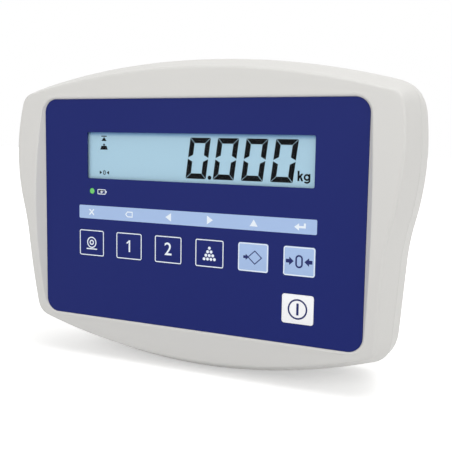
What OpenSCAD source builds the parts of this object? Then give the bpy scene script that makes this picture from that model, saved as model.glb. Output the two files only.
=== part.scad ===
// Weighing indicator: a two-part plastic case with a membrane front panel, a segment display,
// seven keys, two circuit boards, a lead-acid battery behind a rear door and a connector bay.
// Every piece is drawn in the panel's own frame: x to the right, y up, z towards the user,
// with z = 0 on the face of the panel. face_frame() then stands it up on its feet.

/* [Front panel] */
// Width of the blue panel
panel_w = 226; // [220:1:230]
// Height of the blue panel
panel_h = 145.3; // [138:0.1:148]
// Corner radius of the blue panel
panel_r = 9; // [4:0.5:14]
// Thickness of the membrane overlay
overlay_t = 0.8; // [0.5:0.1:1.2]
// Thickness of the case plate behind the overlay
plate_t = 2.6; // [2.2:0.1:3.2]
// Gap between the overlay and the edge of its pocket
pocket_gap = 0.2; // [0.1:0.05:0.4]
// Least height of the pocket's rim above the panel
lip_h = 0.6; // [0.3:0.1:1.2]

/* [Case outline] */
// Height of the front face above the panel, in the middle
top_border = 20.25; // [16:0.05:25]
// Radius of the arched top edge
top_r = 505; // [450:5:700]
// Height of the front face below the panel, in the middle
bot_border = 22.25; // [18:0.05:24.5]
// Radius of the arched bottom edge
bot_r = 375; // [340:5:600]
// Width of the front face beside the panel, where it is widest
side_border = 21.2; // [18:0.1:27]
// Height above the panel's centre where the front face is widest
side_y = 44; // [38:1:50]
// Radius of the bulging upper part of each side
side_r = 165; // [150:5:190]
// Height at which the bulge turns into the waist
wave_y = 2; // [-6:1:8]
// Radius of the hollow waist of each side
waist_r = 130; // [100:5:160]
// Inward slope of the lower sides, as a share of the height
side_slope_share = 0.075; // [0.04:0.005:0.11]
// Reach of the rounding at the top corners of the front face
corner_top = 4.5; // [3:0.5:8]
// Reach of the rounding at the bottom corners of the front face
corner_bot = 6.5; // [4:0.5:10]

/* [Case depth] */
// Height of the crowned front face above the panel
crown_z = 6.3; // [5:0.1:8]
// Height above the panel's centre of the crown's ridge
crown_y = 3; // [-2:1:8]
// Radius of the crowned front face
crown_r = 471; // [450:5:520]
// Wall thickness of both shells
wall = 2.6; // [2.2:0.1:3]
// Depth of the seam between the shells behind the panel
seam_z = 15; // [14:0.5:17]
// Open joint line between the shells
seam_gap = 0.4; // [0.2:0.1:0.6]
// How far the side walls flare out between the front face and the seam
flare = 4.4; // [3.6:0.1:5]
// How far the rear shell's rim stands out past the front face
rim_out = 5.4; // [5:0.1:6]
/* [Display] */
// Width of the display window
window_w = 160; // [150:0.5:164]
// Height of the display window
window_h = 30.4; // [29:0.1:32]
// Place of the window's centre to the right of the panel's centre
window_x = 1.6; // [-2:0.1:3]
// Distance of the window's centre below the panel's top edge
window_drop = 36.85; // [35.6:0.05:38.6]
// Height of a display digit
digit_h = 25.4; // [22:0.1:26]
// Width of a display digit
digit_w = 14.2; // [12:0.1:15]
// Distance from one digit to the next
digit_pitch = 19.2; // [17.5:0.1:20]
// Distance of the first digit's middle from the window's right edge
digit_in = 77.4; // [74:0.1:79]
// Width of a digit's strokes
stroke = 3.3; // [2:0.1:3.5]

/* [Keys] */
// Width of a key
key_w = 20; // [18:0.1:21]
// Height of a key
key_h = 17.6; // [16:0.1:19]
// Distance from one key to the next in the row
key_pitch = 29.7; // [28.5:0.1:30.5]
// Place of the key row's middle to the right of the panel's centre
key_row_x = -0.8; // [-2:0.1:1]
// Height of the key row's middle above the panel's bottom edge
key_row_rise = 49.95; // [48.6:0.05:51.6]
// Place of the power key to the right of the panel's centre
power_x = 73.2; // [70:0.1:75]
// Height of the power key's middle above the panel's bottom edge
power_rise = 21.35; // [19.6:0.05:22.6]
// Corner radius of a key
key_r = 1.6; // [1:0.1:3]
// How far the keys stand proud of the panel
key_proud = 0.15; // [0.1:0.05:0.4]
// Gap round each key
key_gap = 0.15; // [0.1:0.05:0.3]
// Travel of a key
key_travel = 0.4; // [0.3:0.1:0.5]

/* [Battery] */
// Width of the battery
battery_w = 70; // [66:1:72]
// Height of the battery's case
battery_h = 101; // [96:1:102]
// Thickness of the battery
battery_t = 47; // [44:1:48]
// Width of the battery door beside the compartment, on each side
door_side = 7.5; // [6.5:0.1:8.5]

/* [Connectors] */
// Half width of the connector bay
bay_x = 76; // [75:1:80]
// Lower edge of the connector bay above the panel's centre
bay_low = 29; // [28:1:30]
// Upper edge of the connector bay above the panel's centre
bay_high = 61; // [60:1:62]
// Depth of the connector bay
bay_depth = 10; // [9:0.5:11]
// Place of the load cell gland to the right of the panel's centre
gland_x = 56; // [54:1:60]
// Bore of the gland's seal
gland_bore = 6; // [5:0.5:6.5]

/* [Wall bracket] */
// Distance between the bracket inserts, side to side
mount_w = 140; // [130:1:150]
// Distance between the bracket inserts, up and down
mount_h = 60; // [50:1:64]
// Nominal size of the inserts' thread
insert_d = 4; // [3:1:5]

/* [Feet] */
// Diameter of a rubber foot
foot_d = 10; // [8:1:11]
// Thickness of a rubber foot
foot_t = 2.5; // [2:0.5:4]
// Height of the foot pads under the flat base
pad_h = 2.5; // [2:0.5:4]

/* [Hidden] */

$fn = 40;
cut = 1;                    // overrun of every cut past the face it opens
fit = 0.05;                 // gap of screws, inserts and plungers in their holes
seat = 0.1;                 // gap of pieces laid in a pocket
slack = 0.3;                // gap of screws in the holes they pass through
thin = 0.8;                 // sheet metal, lugs and small lips

// Places on the panel
window_y = panel_h / 2 - window_drop;
key_row_y = key_row_rise - panel_h / 2;
power_y = power_rise - panel_h / 2;

// Case outline
quarter = 90;               // quarter turn, in degrees
n_top = 7;
n_corner = 4;
n_side = 13;
n_bot = 7;
side_w = panel_w / 2 + side_border;
top_y = panel_h / 2 + top_border;
bot_y = panel_h / 2 + bot_border;
wave_run = side_y - wave_y;
wave_slope_share = wave_run / side_r;
wave_w = side_w - wave_run * wave_slope_share / 2;
waist_y = wave_y - (wave_slope_share - side_slope_share) * waist_r;
waist_run = waist_y - wave_y;
waist_w = wave_w + wave_slope_share * waist_run + waist_run * waist_run / (2 * waist_r);
edge_soft = 2.4;            // reach of the rounded edge of the front face
edge_mid = 0.5;             // inset of that rounding's middle
edge_drop = 0.8;            // drop of that rounding's middle
lip_run_share = 0.67;       // run of the pocket's slanted rim for each unit of its height
lip_wall = 3;               // width of plastic behind the pocket's rim
seam_face = 1.1;            // land of the rear shell's edge on each side of the seal
seal_depth = 1.2;
seal_gap = 0.05;

function sag(x, r) = r - sqrt(r * r - x * x);
function blend(a, b, share) = a + (b - a) * share;
function bend(a, b, c, share) = blend(blend(a, b, share), blend(b, c, share), share);
function bulge(y) = crown_z - (y - crown_y) * (y - crown_y) / (2 * crown_r);
// Half width of the front face at a height, as a bulge, a waist and a straight lower side
function half_w(y) =
    y > wave_y ? side_w - (y - side_y) * (y - side_y) / (2 * side_r) :
    y > waist_y ? wave_w + wave_slope_share * (y - wave_y) + (y - wave_y) * (y - wave_y) / (2 * waist_r) :
    waist_w + side_slope_share * (y - waist_y);

// Outline of the case let out by a distance, with rounded corners and a base that can be flat
function outline(out, ct, cb, flat_share, flat_y) =
    let (
        ty = case_top + out - sag(side_w, top_r),
        tx = half_w(ty) + out,
        low = -case_low - out,
        by0 = low + sag(half_w(-panel_h / 2), bot_r),
        by = blend(by0, -flat_y, flat_share),
        bx = half_w(by) + out,
        a = [tx - ct, case_top + out - sag(tx - ct, top_r)],
        b = [half_w(ty - ct) + out, ty - ct],
        c = [half_w(by + cb) + out, by + cb],
        d = [bx - cb, blend(low + sag(bx - cb, bot_r), -flat_y, flat_share)],
        half = concat(
            [for (j = [0:n_top - 1]) let (x = a[0] * j / n_top) [x, case_top + out - sag(x, top_r)]],
            [for (j = [0:n_corner - 1]) bend(a, [tx, ty], b, j / n_corner)],
            [for (j = [0:n_side - 1]) let (y = blend(b[1], c[1], j / n_side)) [half_w(y) + out, y]],
            [for (j = [0:n_corner - 1]) bend(c, [bx, by], d, j / n_corner)],
            [for (j = [0:n_bot]) let (x = d[0] * (1 - j / n_bot))
                [x, blend(low + sag(x, bot_r), -flat_y, flat_share)]]
        ))
    concat(half, [for (k = [len(half) - 2:-1:1]) [-half[k][0], half[k][1]]]);

// Outline of the panel let out by a distance, point for point with the case outline
function panel_outline(out) =
    let (
        r = panel_r + out, cx = panel_w / 2 - panel_r, cy = panel_h / 2 - panel_r,
        half = concat(
            [for (j = [0:n_top - 1]) [cx * j / n_top, cy + r]],
            [for (j = [0:n_corner - 1]) let (t = quarter * j / n_corner) [cx + r * sin(t), cy + r * cos(t)]],
            [for (j = [0:n_side - 1]) [cx + r, cy * (1 - 2 * j / n_side)]],
            [for (j = [0:n_corner - 1]) let (t = quarter * j / n_corner) [cx + r * cos(t), -cy - r * sin(t)]],
            [for (j = [0:n_bot]) [cx * (1 - j / n_bot), -cy - r]]
        ))
    concat(half, [for (k = [len(half) - 2:-1:1]) [-half[k][0], half[k][1]]]);

function flat_ring(points, z) = [for (p = points) [p[0], p[1], z]];
function crown_ring(points, drop) = [for (p = points) [p[0], p[1], bulge(p[1]) - drop]];
// Rim of the panel's pocket: it leans out as far as the crowned face stands above the panel
function lip_ring(out) =
    let (base = panel_outline(pocket_gap), far = panel_outline(pocket_gap + crown_z))
    [for (i = [0:len(base) - 1])
        let (z = max(bulge(base[i][1]), lip_h),
            p = blend(base[i], far[i], (z * lip_run_share + out) / crown_z))
        [p[0], p[1], z]];

// Closed skin through rings of points: a tube that meets itself, or one capped at both ends
module ring_tube(rings) {
    n = len(rings[0]);
    m = len(rings);
    polyhedron(
        points = [for (r = rings) each r],
        faces = [for (r = [0:m - 1], i = [0:n - 1]) let (
            s = (r + 1) % m, j = (i + 1) % n,
            a = r * n + i, b = r * n + j, c = s * n + j, d = s * n + i)
            each [[a, b, c], [a, c, d]]]);
}
module ring_stack(rings, first_mid, last_mid) {
    n = len(rings[0]);
    m = len(rings);
    polyhedron(
        points = concat([for (r = rings) each r], [first_mid, last_mid]),
        faces = concat(
            [for (r = [0:m - 2], i = [0:n - 1]) let (
                j = (i + 1) % n, a = r * n + i, b = r * n + j, c = a + n, d = b + n)
                each [[a, d, b], [a, c, d]]],
            [for (i = [0:n - 1]) [n * m, i, (i + 1) % n]],
            [for (i = [0:n - 1]) [n * m + 1, (m - 1) * n + (i + 1) % n, (m - 1) * n + i]]));
}

// Main board's reach above the connector bay, and the top of the case above it
main_above_bay = 11;
main_high = bay_high + main_above_bay;
main_head = 16.6;           // least height of the front face above the main board
case_top = max(top_y, main_high + main_head);

// Battery compartment, and the base below it
cell_gap = 0.5;
bay_to_cell = 6.5;
cell_high = bay_low - bay_to_cell;
tab_h = 6;
tab_room = 2;
battery_top = cell_high - tab_room - tab_h;
battery_low = battery_h - battery_top;
cell_low = battery_low + cell_gap;
cell_mid = (cell_high - cell_low) / 2;
cell_h = cell_high + cell_low;
hump_room = 10;             // least height of the base under the compartment
base_step = 2.1;            // least height of the base under the front shell
cell_room = 3;              // least height of the front face under the compartment
case_low = max(bot_y, cell_low + cell_room);
hump_base = max(cell_low + hump_room, case_low + base_step);
base_y = hump_base + pad_h;
cell_set = 4;               // from the seam to the front of the compartment
back_z = seam_z + seam_gap + cell_set + 2 * cell_gap + battery_t + wall;

// Frame of the panel in the standing object
panel_z = base_y + foot_t;
panel_front = (crown_z - back_z) / 2;
module face_frame() translate([0, panel_front, panel_z]) rotate([90, 0, 0]) children();

module rounded(w, h, r) {
    square([w - 2 * r, h], center = true);
    square([w, h - 2 * r], center = true);
    for (sx = [-1, 1], sy = [-1, 1]) translate([sx * (w / 2 - r), sy * (h / 2 - r)]) circle(r);
}
// Slab between two depths behind the panel
module slab(w, h, r, z_front, z_back)
    translate([0, 0, -z_back]) linear_extrude(z_back - z_front) rounded(w, h, r);
module block(w, h, z_front, z_back) translate([-w / 2, -h / 2, -z_back]) cube([w, h, z_back - z_front]);
module post(r, z_front, z_back) translate([0, 0, -z_back]) cylinder(r = r, h = z_back - z_front);
module at(places) for (p = places) translate([p[0], p[1], 0]) children();

// Depths behind the panel, front to back
plate_back = overlay_t + plate_t;
key_pocket = overlay_t + key_travel + 2 * seat;
back_in = back_z - wall;
bay_floor = back_z - bay_depth;
bay_in = bay_floor - wall;

// Screws that close the case, each down a well in the rear shell
screw_r = 1.5;
screw_head_r = 2.8;
screw_head_h = 2.2;
boss_r = 4;
well_r = 3.2;
well_wall = 1.6;
screw_grip = 11;
screw_bite = 7;
screw_seat = seam_z + screw_grip;
screw_tip = seam_z - screw_bite;

// Keys, in their order along the row, and the power key
key_places = concat([for (i = [0:5]) [key_row_x + (i - 2.5) * key_pitch, key_row_y]], [[power_x, power_y]]);
post_r = 2.4;
post_gap = 0.4;
post_end = plate_back + seat;
switch_w = 6;
switch_lift = 2;
switch_top = plate_back + switch_lift;
plunger_r = 1.7;
plunger_bite = 2;
plunger_end = switch_top + plunger_bite;

// Switch board
board_t = 1.6;
switch_h = 3.6;
switch_board_z = switch_top + switch_h;
switch_side = 10.95;        // width of the board beside the outer keys' middles
switch_foot = 10.7;         // height of the board below the power key's middle
switch_board_w = 2 * (2.5 * key_pitch + abs(key_row_x) + switch_side);
switch_board_low = switch_foot - power_y;
board_post_r = 3;
board_screw_r = 1.2;
board_screw_head_r = 2.2;
board_screw_head_h = 1.6;
board_screw_bite = 4;
switch_post_in = 3;
switch_post_rise = 6;
switch_post_drop = 8.8;
switch_post_x = switch_board_w / 2 - switch_post_in;
switch_post_low = switch_board_low - switch_post_rise;
led_in = 3.7;
led_x = window_x - window_w / 2 + led_in;
led_r = 1.5;
lens_r = 2;
lens_over = 0.4;
lens_end = plate_back + lens_over;

// Display
flange = 3;
flange_t = 1;
window_back = overlay_t + flange_t;
digit_t = 0.1;
glass_edge = 1.8;           // border of the glass behind the window's rim
glass_w = window_w + 2 * glass_edge;
glass_h = window_h + 2 * glass_edge;
glass_front = window_back + 2 * seat + digit_t;
glass_t = 2.8;
lcd_depth = 6.2;
lcd_board_z = plate_back + lcd_depth;
lcd_frame_edge = 5;
lcd_frame_w = window_w + 2 * lcd_frame_edge;
lcd_frame_h = window_h + 2 * lcd_frame_edge;
lcd_frame_gap = 1.2;
led_drop_share = 0.05;      // of the height between the window and the keys
window_low = window_y - window_h / 2;
led_y = window_low - lcd_frame_edge - led_r - 2 * seat
    - led_drop_share * (window_low - key_row_y - key_h / 2);
lcd_frame_in_w = glass_w + lcd_frame_gap;
lcd_frame_in_h = glass_h + 2 * lcd_frame_gap;
lcd_opening_w = window_w + 2 * flange + 2 * seat;
lcd_opening_h = window_h + 2 * flange + 2 * seat;
lcd_post_side = 8.5;        // distance of the board's posts from the window's sides
lcd_post_rise = 1.8;
lcd_post_x = window_w / 2 + lcd_post_side;
lcd_post_y = window_h / 2 + lcd_post_rise;
lcd_board_side = 3.5;
lcd_board_head = 4.5;
lcd_board_w = 2 * (lcd_post_x + lcd_board_side);
lcd_board_h = 2 * (lcd_post_y + lcd_board_head);
board_gap = 0.5;
switch_board_high = window_y - lcd_board_h / 2 - board_gap;
switch_post_high = switch_board_high - switch_post_drop;
switch_post_places = [for (s = [-1, 1], y = [switch_post_high, -switch_post_low]) [s * switch_post_x, y]];
lcd_post_places = [for (sx = [-1, 1], sy = [-1, 1]) [sx * lcd_post_x, sy * lcd_post_y]];
pin_r = 0.25;
pin_in = 4.8;
pin_count = 36;
pin_pitch = (glass_w - 2 * pin_in) / (pin_count - 1);
slant_share = 0.132;
stroke_gap = 0.22;
digit_x = window_x + window_w / 2 - digit_in;
dot_gap = 1.05;
dot_rise = 1;
dot_x = digit_x + digit_w / 2 + dot_gap;
dot_y = window_y - digit_h / 2 + dot_rise;
dot_r = 1.25;

// Places of the case screws, beside the boards
corner_boss_gap = 1.4;
waist_boss_gap = 14;
foot_boss_gap = 5;
foot_screw_rise = 1;
corner_screw_x = abs(window_x) + lcd_board_w / 2 + boss_r + corner_boss_gap;
corner_screw_y = 57;
waist_screw_x = switch_board_w / 2 + boss_r + waist_boss_gap;
waist_screw_y = 2;
foot_screw_x = switch_board_w / 2 + boss_r + foot_boss_gap;
foot_screw_y = switch_board_low - foot_screw_rise;
case_places = [
    for (s = [-1, 1]) each [[s * corner_screw_x, corner_screw_y], [s * waist_screw_x, waist_screw_y],
        [s * foot_screw_x, -foot_screw_y]]];

// Main board, in front of the connector bay
main_room = 7.4;
main_z = bay_in - main_room;
main_beside_bay = 2;
main_left = bay_x + main_beside_bay;
main_right = 34;
main_below_bay = 3;
main_low = bay_low - main_below_bay;
main_back = main_z + board_t;
main_post_inset = 4;
main_post_rise = 5;
main_post_low = bay_low + main_post_rise;
main_post_high = bay_high - main_post_rise;
main_post_places = [for (x = [main_post_inset - main_left, main_right - main_post_inset],
    y = [main_post_low, main_post_high]) [x, y]];

// Battery compartment, open to the back and closed by the door
cell_wall = 2;
cell_w = battery_w + 2 * cell_gap;
door_w = cell_w + 2 * door_side;
cell_front = back_in - battery_t - 2 * cell_gap;
battery_back = back_in - cell_gap;
battery_front = battery_back - battery_t;
tab_w = 4.8;
tab_x = 25;
tab_in = 8;
tab_z = battery_front + tab_in;
door_gap = 0.3;
door_lap = 0.75;
door_h = cell_h + 2 * door_lap;
door_r = 3;
door_land = 3;
door_t = 2;
lead_notch_w = 14;
lead_notch_d = 8;
lead_notch_x = -14;
cover_screw_in = 3.7;       // distance of the door's screws from its side edges
cover_screw_rise = 6;       // distance of the door's screws from its top and bottom edges
cover_boss_r = 3.2;
cover_seat = back_z - screw_head_h / 2;
cover_tip = back_z - 4 * door_t;
cover_places = [for (sx = [-1, 1], sy = [-1, 1])
    [sx * (door_w / 2 - cover_screw_in), cell_mid + sy * (door_h / 2 - cover_screw_rise)]];

// Wall bracket inserts
insert_r = 3;
insert_len = 8;
insert_boss = 5.2;
insert_y = -22;
insert_places = [for (sx = [-1, 1], sy = [-1, 1]) [sx * mount_w / 2, insert_y + sy * mount_h / 2]];

// Feet
foot_front_x = 22;
foot_front_in = 20;
foot_front_z = seam_z + foot_front_in;
foot_back_x = 60;
foot_back_in = 11;
foot_back_z = back_z - foot_back_in;
foot_lip = 1.6;
foot_pad_r = foot_d / 2 + foot_lip;
foot_places = [for (s = [-1, 1]) each [[s * foot_front_x, foot_front_z], [s * foot_back_x, foot_back_z]]];

module front_shell() {
    rings = [
        flat_ring(outline(flare, corner_top + flare, corner_bot + flare, 0, 0), -seam_z),
        crown_ring(outline(0, corner_top, corner_bot, 0, 0), edge_soft),
        crown_ring(outline(-edge_mid, corner_top, corner_bot, 0, 0), edge_drop),
        crown_ring(outline(-edge_soft, corner_top, corner_bot, 0, 0), 0),
        face_mid_ring(),
        lip_ring(0),
        flat_ring(panel_outline(pocket_gap), 0),
        flat_ring(panel_outline(pocket_gap), -overlay_t - plate_t / 2),
        flat_ring(panel_outline(pocket_gap + plate_land / 2), -plate_back + plate_t / 4),
        [for (p = lip_ring(lip_wall)) [p[0], p[1], min(p[2], bulge(p[1])) - wall]],
        crown_ring(outline(-wall - edge_mid, corner_top, corner_bot, 0, 0), edge_soft + wall),
        flat_ring(outline(flare - wall, corner_top + flare - wall, corner_bot + flare - wall, 0, 0), -seam_z)
    ];
    color([0.81, 0.805, 0.79]) face_frame() difference() {
        union() {
            ring_tube(rings);
            slab(panel_w + 2 * plate_land, panel_h + 2 * plate_land, panel_r, overlay_t, plate_back);
            at(case_places) post(boss_r, overlay_t + plate_t / 2, seam_z);
            at(switch_post_places) post(board_post_r, overlay_t + plate_t / 2, switch_board_z);
            translate([window_x, window_y, 0]) at(lcd_post_places)
                post(board_post_r, overlay_t + plate_t / 2, lcd_board_z);
        }
        translate([window_x, window_y, 0])
            block(lcd_opening_w, lcd_opening_h, overlay_t - cut, plate_back + cut);
        at(key_places) block(key_w + 2 * key_gap, key_h + 2 * key_gap, overlay_t - cut, key_pocket);
        at(key_places) post(post_r + post_gap, 0, plate_back + cut);
        translate([led_x, led_y, 0]) post(lens_r + seat, 0, plate_back + cut);
        at(case_places) post(screw_r + fit, screw_tip - cut, seam_z + cut);
        at(switch_post_places)
            post(board_screw_r + fit, switch_board_z - board_screw_bite - cut / 2, switch_board_z + cut);
        translate([window_x, window_y, 0]) at(lcd_post_places)
            post(board_screw_r + fit, lcd_board_z - board_screw_bite - cut / 2, lcd_board_z + cut);
    }
}
plate_land = 2;
// Middle of the crowned face, between its outer edge and the pocket's rim
function face_mid_ring() =
    let (a = outline(-edge_soft, corner_top, corner_bot, 0, 0), b = lip_ring(0))
    [for (i = [0:len(a) - 1]) let (x = (a[i][0] + b[i][0]) / 2, y = (a[i][1] + b[i][1]) / 2)
        [x, y, (bulge(y) + (bulge(a[i][1]) + b[i][2]) / 2) / 2]];

// Section of the rear shell: let out, depth, corner reach, share of the flat base, height of the base
rim_run = 9;
rim_z = seam_z + rim_run;
rim_land = 3;
rim_corner = 10;
shoulder_out = 3;
shoulder_run = 6.5;
shoulder_z = rim_z + shoulder_run;
neck_in = 1.5;
neck_run = 3;
neck_z = shoulder_z + neck_run;
hump_mid_run = 10.5;
hump_mid_z = neck_z + hump_mid_run;
hump_mid_in = 4.5;
hump_in = 9;
hump_end = 10;
hump_z = back_z - hump_end;
turn_in = 10.5;
turn_end = 4;
turn_z = back_z - turn_end;
edge_in = 12.8;
edge_end = 1;
edge_z = back_z - edge_end;
face_in = 16;
hump_corner = 22;
neck_base_share = 0.35;
mid_base_share = 0.75;
function shell_ring(out, z, corner, base_share, inset) =
    flat_ring(outline(out - inset, corner_top + corner, corner_bot + corner, base_share,
        hump_base - inset - max(0, -hump_in - out)), -z);

module rear_shell() {
    seam = seam_z + seam_gap;
    outer = [
        shell_ring(flare, seam, flare, 0, 0),
        shell_ring(rim_out, rim_z, rim_corner, 0, 0),
        shell_ring(rim_out, rim_z + rim_land, rim_corner, 0, 0),
        shell_ring(shoulder_out, shoulder_z, rim_corner, 0, 0),
        shell_ring(-neck_in, neck_z, rim_corner, neck_base_share, 0),
        shell_ring(-hump_mid_in, hump_mid_z, hump_corner / 2, mid_base_share, 0),
        shell_ring(-hump_in, hump_z, hump_corner, 1, 0),
        shell_ring(-turn_in, turn_z, hump_corner, 1, 0),
        shell_ring(-edge_in, edge_z, hump_corner, 1, 0),
        shell_ring(-face_in, back_z, hump_corner, 1, 0)
    ];
    inner = [
        shell_ring(-face_in, back_in, hump_corner, 1, wall),
        shell_ring(-edge_in, back_in - (back_z - edge_z), hump_corner, 1, wall),
        shell_ring(-turn_in, turn_z - wall / 2, hump_corner, 1, wall),
        shell_ring(-hump_in, hump_z - wall / 2, hump_corner, 1, wall),
        shell_ring(-hump_mid_in, hump_mid_z - wall / 2, hump_corner / 2, mid_base_share, wall),
        shell_ring(-neck_in, neck_z - wall / 2, rim_corner, neck_base_share, wall),
        shell_ring(shoulder_out, shoulder_z - wall, rim_corner, 0, wall),
        shell_ring(rim_out, rim_z, rim_corner, 0, wall),
        shell_ring(flare, seam, flare, 0, wall)
    ];
    groove = [
        shell_ring(flare, seam, flare, 0, wall - seam_face / 2),
        shell_ring(flare, seam + seal_depth, flare, 0, wall - seam_face / 2),
        shell_ring(flare, seam + seal_depth, flare, 0, seam_face / 2),
        shell_ring(flare, seam, flare, 0, seam_face / 2)
    ];
    color([0.80, 0.795, 0.78]) face_frame() difference() {
        union() {
            ring_stack_open(concat(inner, groove, outer), -back_in, -back_z);
            bay_box();
            cell_box();
            at(case_places) post(well_r + well_wall, seam, back_z - wall / 2);
            at(insert_places) post(insert_boss, back_z - insert_len - wall, back_z - wall / 2);
            at(main_post_places) post(board_post_r, main_back, bay_in + wall / 2);
            for (p = foot_places) foot_pad(p);
            door_frame();
            at(cover_places) post(cover_boss_r, cover_tip - wall, back_z - wall / 2);
        }
        translate([0, (bay_low + bay_high) / 2, 0])
            slab(2 * bay_x, bay_high - bay_low, 3 * bay_round, bay_floor, back_z + cut);
        cell_space();
        door_recess();
        at(case_places) {
            post(screw_r + slack, seam - cut, screw_seat + cut);
            post(well_r, screw_seat, back_z + cut);
        }
        at(insert_places) post(insert_r + fit, back_z - insert_len, back_z + cut);
        at(main_post_places) post(board_screw_r + fit, main_back - cut, main_back + board_screw_bite);
        connector_holes();
        at(cover_places) post(screw_r + fit, cover_tip, back_z);
        for (p = foot_places) translate([p[0], -base_y - cut, -p[1]]) rotate([-90, 0, 0])
            cylinder(r = foot_d / 2 + seat, h = cut + foot_sink);
        vent_slots();
    }
}
bay_round = 1;
foot_sink = 0.6;
module ring_stack_open(rings, z_first, z_last) ring_stack(rings, [0, 0, z_first], [0, 0, z_last]);
module bay_box() translate([0, (bay_low + bay_high) / 2, 0])
    slab(2 * (bay_x + wall), bay_high - bay_low + 2 * wall, 3 * bay_round + wall, bay_in, back_z - wall / 2);
module cell_box() translate([0, cell_mid, 0])
    block(cell_w + 2 * cell_wall, cell_h + 2 * cell_wall, cell_front - cell_wall, back_z - wall / 2);
module cell_space() {
    translate([0, cell_mid, 0]) block(cell_w, cell_h, cell_front, back_z + cut);
    translate([lead_notch_x, cell_high + cell_wall / 2, 0])
        block(lead_notch_w, cell_wall + 2 * cut, cell_front + lead_notch_d, cell_front + 2 * lead_notch_d);
}
// Ledge round the battery opening that the door's flange lies on
module door_frame() translate([0, cell_mid, 0])
    block(door_w + 2 * door_land, door_h + 2 * door_land, back_in - door_t, back_z - wall / 2);
module door_recess() translate([0, cell_mid, 0])
    slab(door_w + 2 * door_gap, door_h + 2 * door_gap, door_r, back_z - door_t - seat, back_z + cut);
module foot_pad(p) translate([p[0], -base_y, -p[1]]) rotate([-90, 0, 0])
    cylinder(r = foot_pad_r, h = base_y - hump_base + 2 * wall);
slot_w = 2;
slot_len = 16;
slot_pitch = 5;
slot_count = 5;
slot_y = main_high;
// Sound and vent slots in the top of the hump
module vent_slots() for (i = [0:slot_count - 1]) {
    x = (i - (slot_count - 1) / 2) * slot_pitch;
    translate([x - slot_w / 2, slot_y, -hump_z]) cube([slot_w, case_top - slot_y, slot_len]);
}

// Connector places in the bay
bay_mid = (bay_low + bay_high) / 2;
jack_x = -60;
jack_r = 4.5;
jack_bore = 2.75;
jack_pin_r = 1;
jack_w = 10;
jack_out = 5;
jack_pin_out = 4;
serial_x = -16;
serial_w = 16.9;
serial_top_w = 19.2;
serial_h = 10.7;
serial_flange_w = 30.8;
serial_flange_h = 12.5;
serial_screw_x = 12.5;
serial_out = 5.5;
serial_end = bay_floor + serial_out;
standoff_r = 2.7;
gland_r = 6.2;
gland_hex = 8.6;
module serial_outline(shrink) polygon([
    [-serial_top_w / 2 + shrink, serial_h / 2 - shrink], [serial_top_w / 2 - shrink, serial_h / 2 - shrink],
    [serial_w / 2 - shrink, -serial_h / 2 + shrink], [-serial_w / 2 + shrink, -serial_h / 2 + shrink]]);
module connector_holes() {
    translate([jack_x, bay_mid, 0]) post(jack_r + seat, bay_in - cut, bay_floor + cut);
    translate([serial_x, bay_mid, -bay_floor - cut]) linear_extrude(wall + 2 * cut) serial_outline(-seat);
    translate([serial_x, bay_mid, 0]) at([for (s = [-1, 1]) [s * serial_screw_x, 0]])
        post(screw_r + fit, bay_in - cut, bay_floor + cut);
    translate([gland_x, bay_mid, 0]) post(gland_r + seat, bay_in - cut, bay_floor + cut);
}

module case_seal() {
    seam = seam_z + seam_gap / 2;
    deep = seam_z + seam_gap + seal_depth - seal_gap;
    color([0.15, 0.15, 0.15]) face_frame() ring_tube([
        shell_ring(flare, seam, flare, 0, seam_face / 2 + seal_gap),
        shell_ring(flare, seam, flare, 0, wall - seam_face / 2 - seal_gap),
        shell_ring(flare, deep, flare, 0, wall - seam_face / 2 - seal_gap),
        shell_ring(flare, deep, flare, 0, seam_face / 2 + seal_gap)
    ]);
}

module screw(r, head_r, head_h, z_tip, z_seat) {
    difference() {
        union() {
            post(r, z_tip, z_seat + head_h / 2);
            post(head_r, z_seat, z_seat + head_h);
        }
        for (a = [0, 90]) rotate(a)
            block(head_r, head_r / 4, z_seat + head_h / 2, z_seat + head_h + cut);
    }
}
module case_screws() color("silver") face_frame() at(case_places)
    screw(screw_r, screw_head_r, screw_head_h, screw_tip, screw_seat);

module keypad_overlay() color([0.153, 0.196, 0.44]) face_frame() difference() {
    slab(panel_w, panel_h, panel_r, 0, overlay_t);
    translate([window_x, window_y, 0]) slab(window_w, window_h, window_r, -cut, overlay_t + cut);
    at(key_places) slab(key_w + 2 * key_gap, key_h + 2 * key_gap, key_r + key_gap, -cut, overlay_t + cut);
    translate([led_x, led_y, 0]) post(lens_r, -cut, overlay_t + cut);
}
window_r = 1;

module display_window() color([0.75, 0.85, 0.9, 0.4]) face_frame() translate([window_x, window_y, 0]) {
    slab(window_w - 2 * seat, window_h - 2 * seat, window_r, 0, window_back);
    block(window_w + 2 * flange, window_h + 2 * flange, overlay_t + fit, window_back);
}

module key_piece(i) face_frame() translate([key_places[i][0], key_places[i][1], 0]) {
    slab(key_w, key_h, key_r, -key_proud, overlay_t);
    post(post_r, overlay_t / 2, post_end);
}
module key_print() color([0.153, 0.196, 0.44]) key_piece(0);
module key_function() color([0.153, 0.196, 0.44]) key_piece(1);
module key_units() color([0.153, 0.196, 0.44]) key_piece(2);
module key_count() color([0.153, 0.196, 0.44]) key_piece(3);
module key_tare() color([0.67, 0.76, 0.92]) key_piece(4);
module key_zero() color([0.67, 0.76, 0.92]) key_piece(5);
module key_power() color([0.92, 0.95, 0.97]) key_piece(6);

module plunger_piece(i) color([0.1, 0.1, 0.1]) face_frame() translate([key_places[i][0], key_places[i][1], 0])
    post(plunger_r, post_end, plunger_end);
module plunger_print() plunger_piece(0);
module plunger_function() plunger_piece(1);
module plunger_units() plunger_piece(2);
module plunger_count() plunger_piece(3);
module plunger_tare() plunger_piece(4);
module plunger_zero() plunger_piece(5);
module plunger_power() plunger_piece(6);

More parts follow.
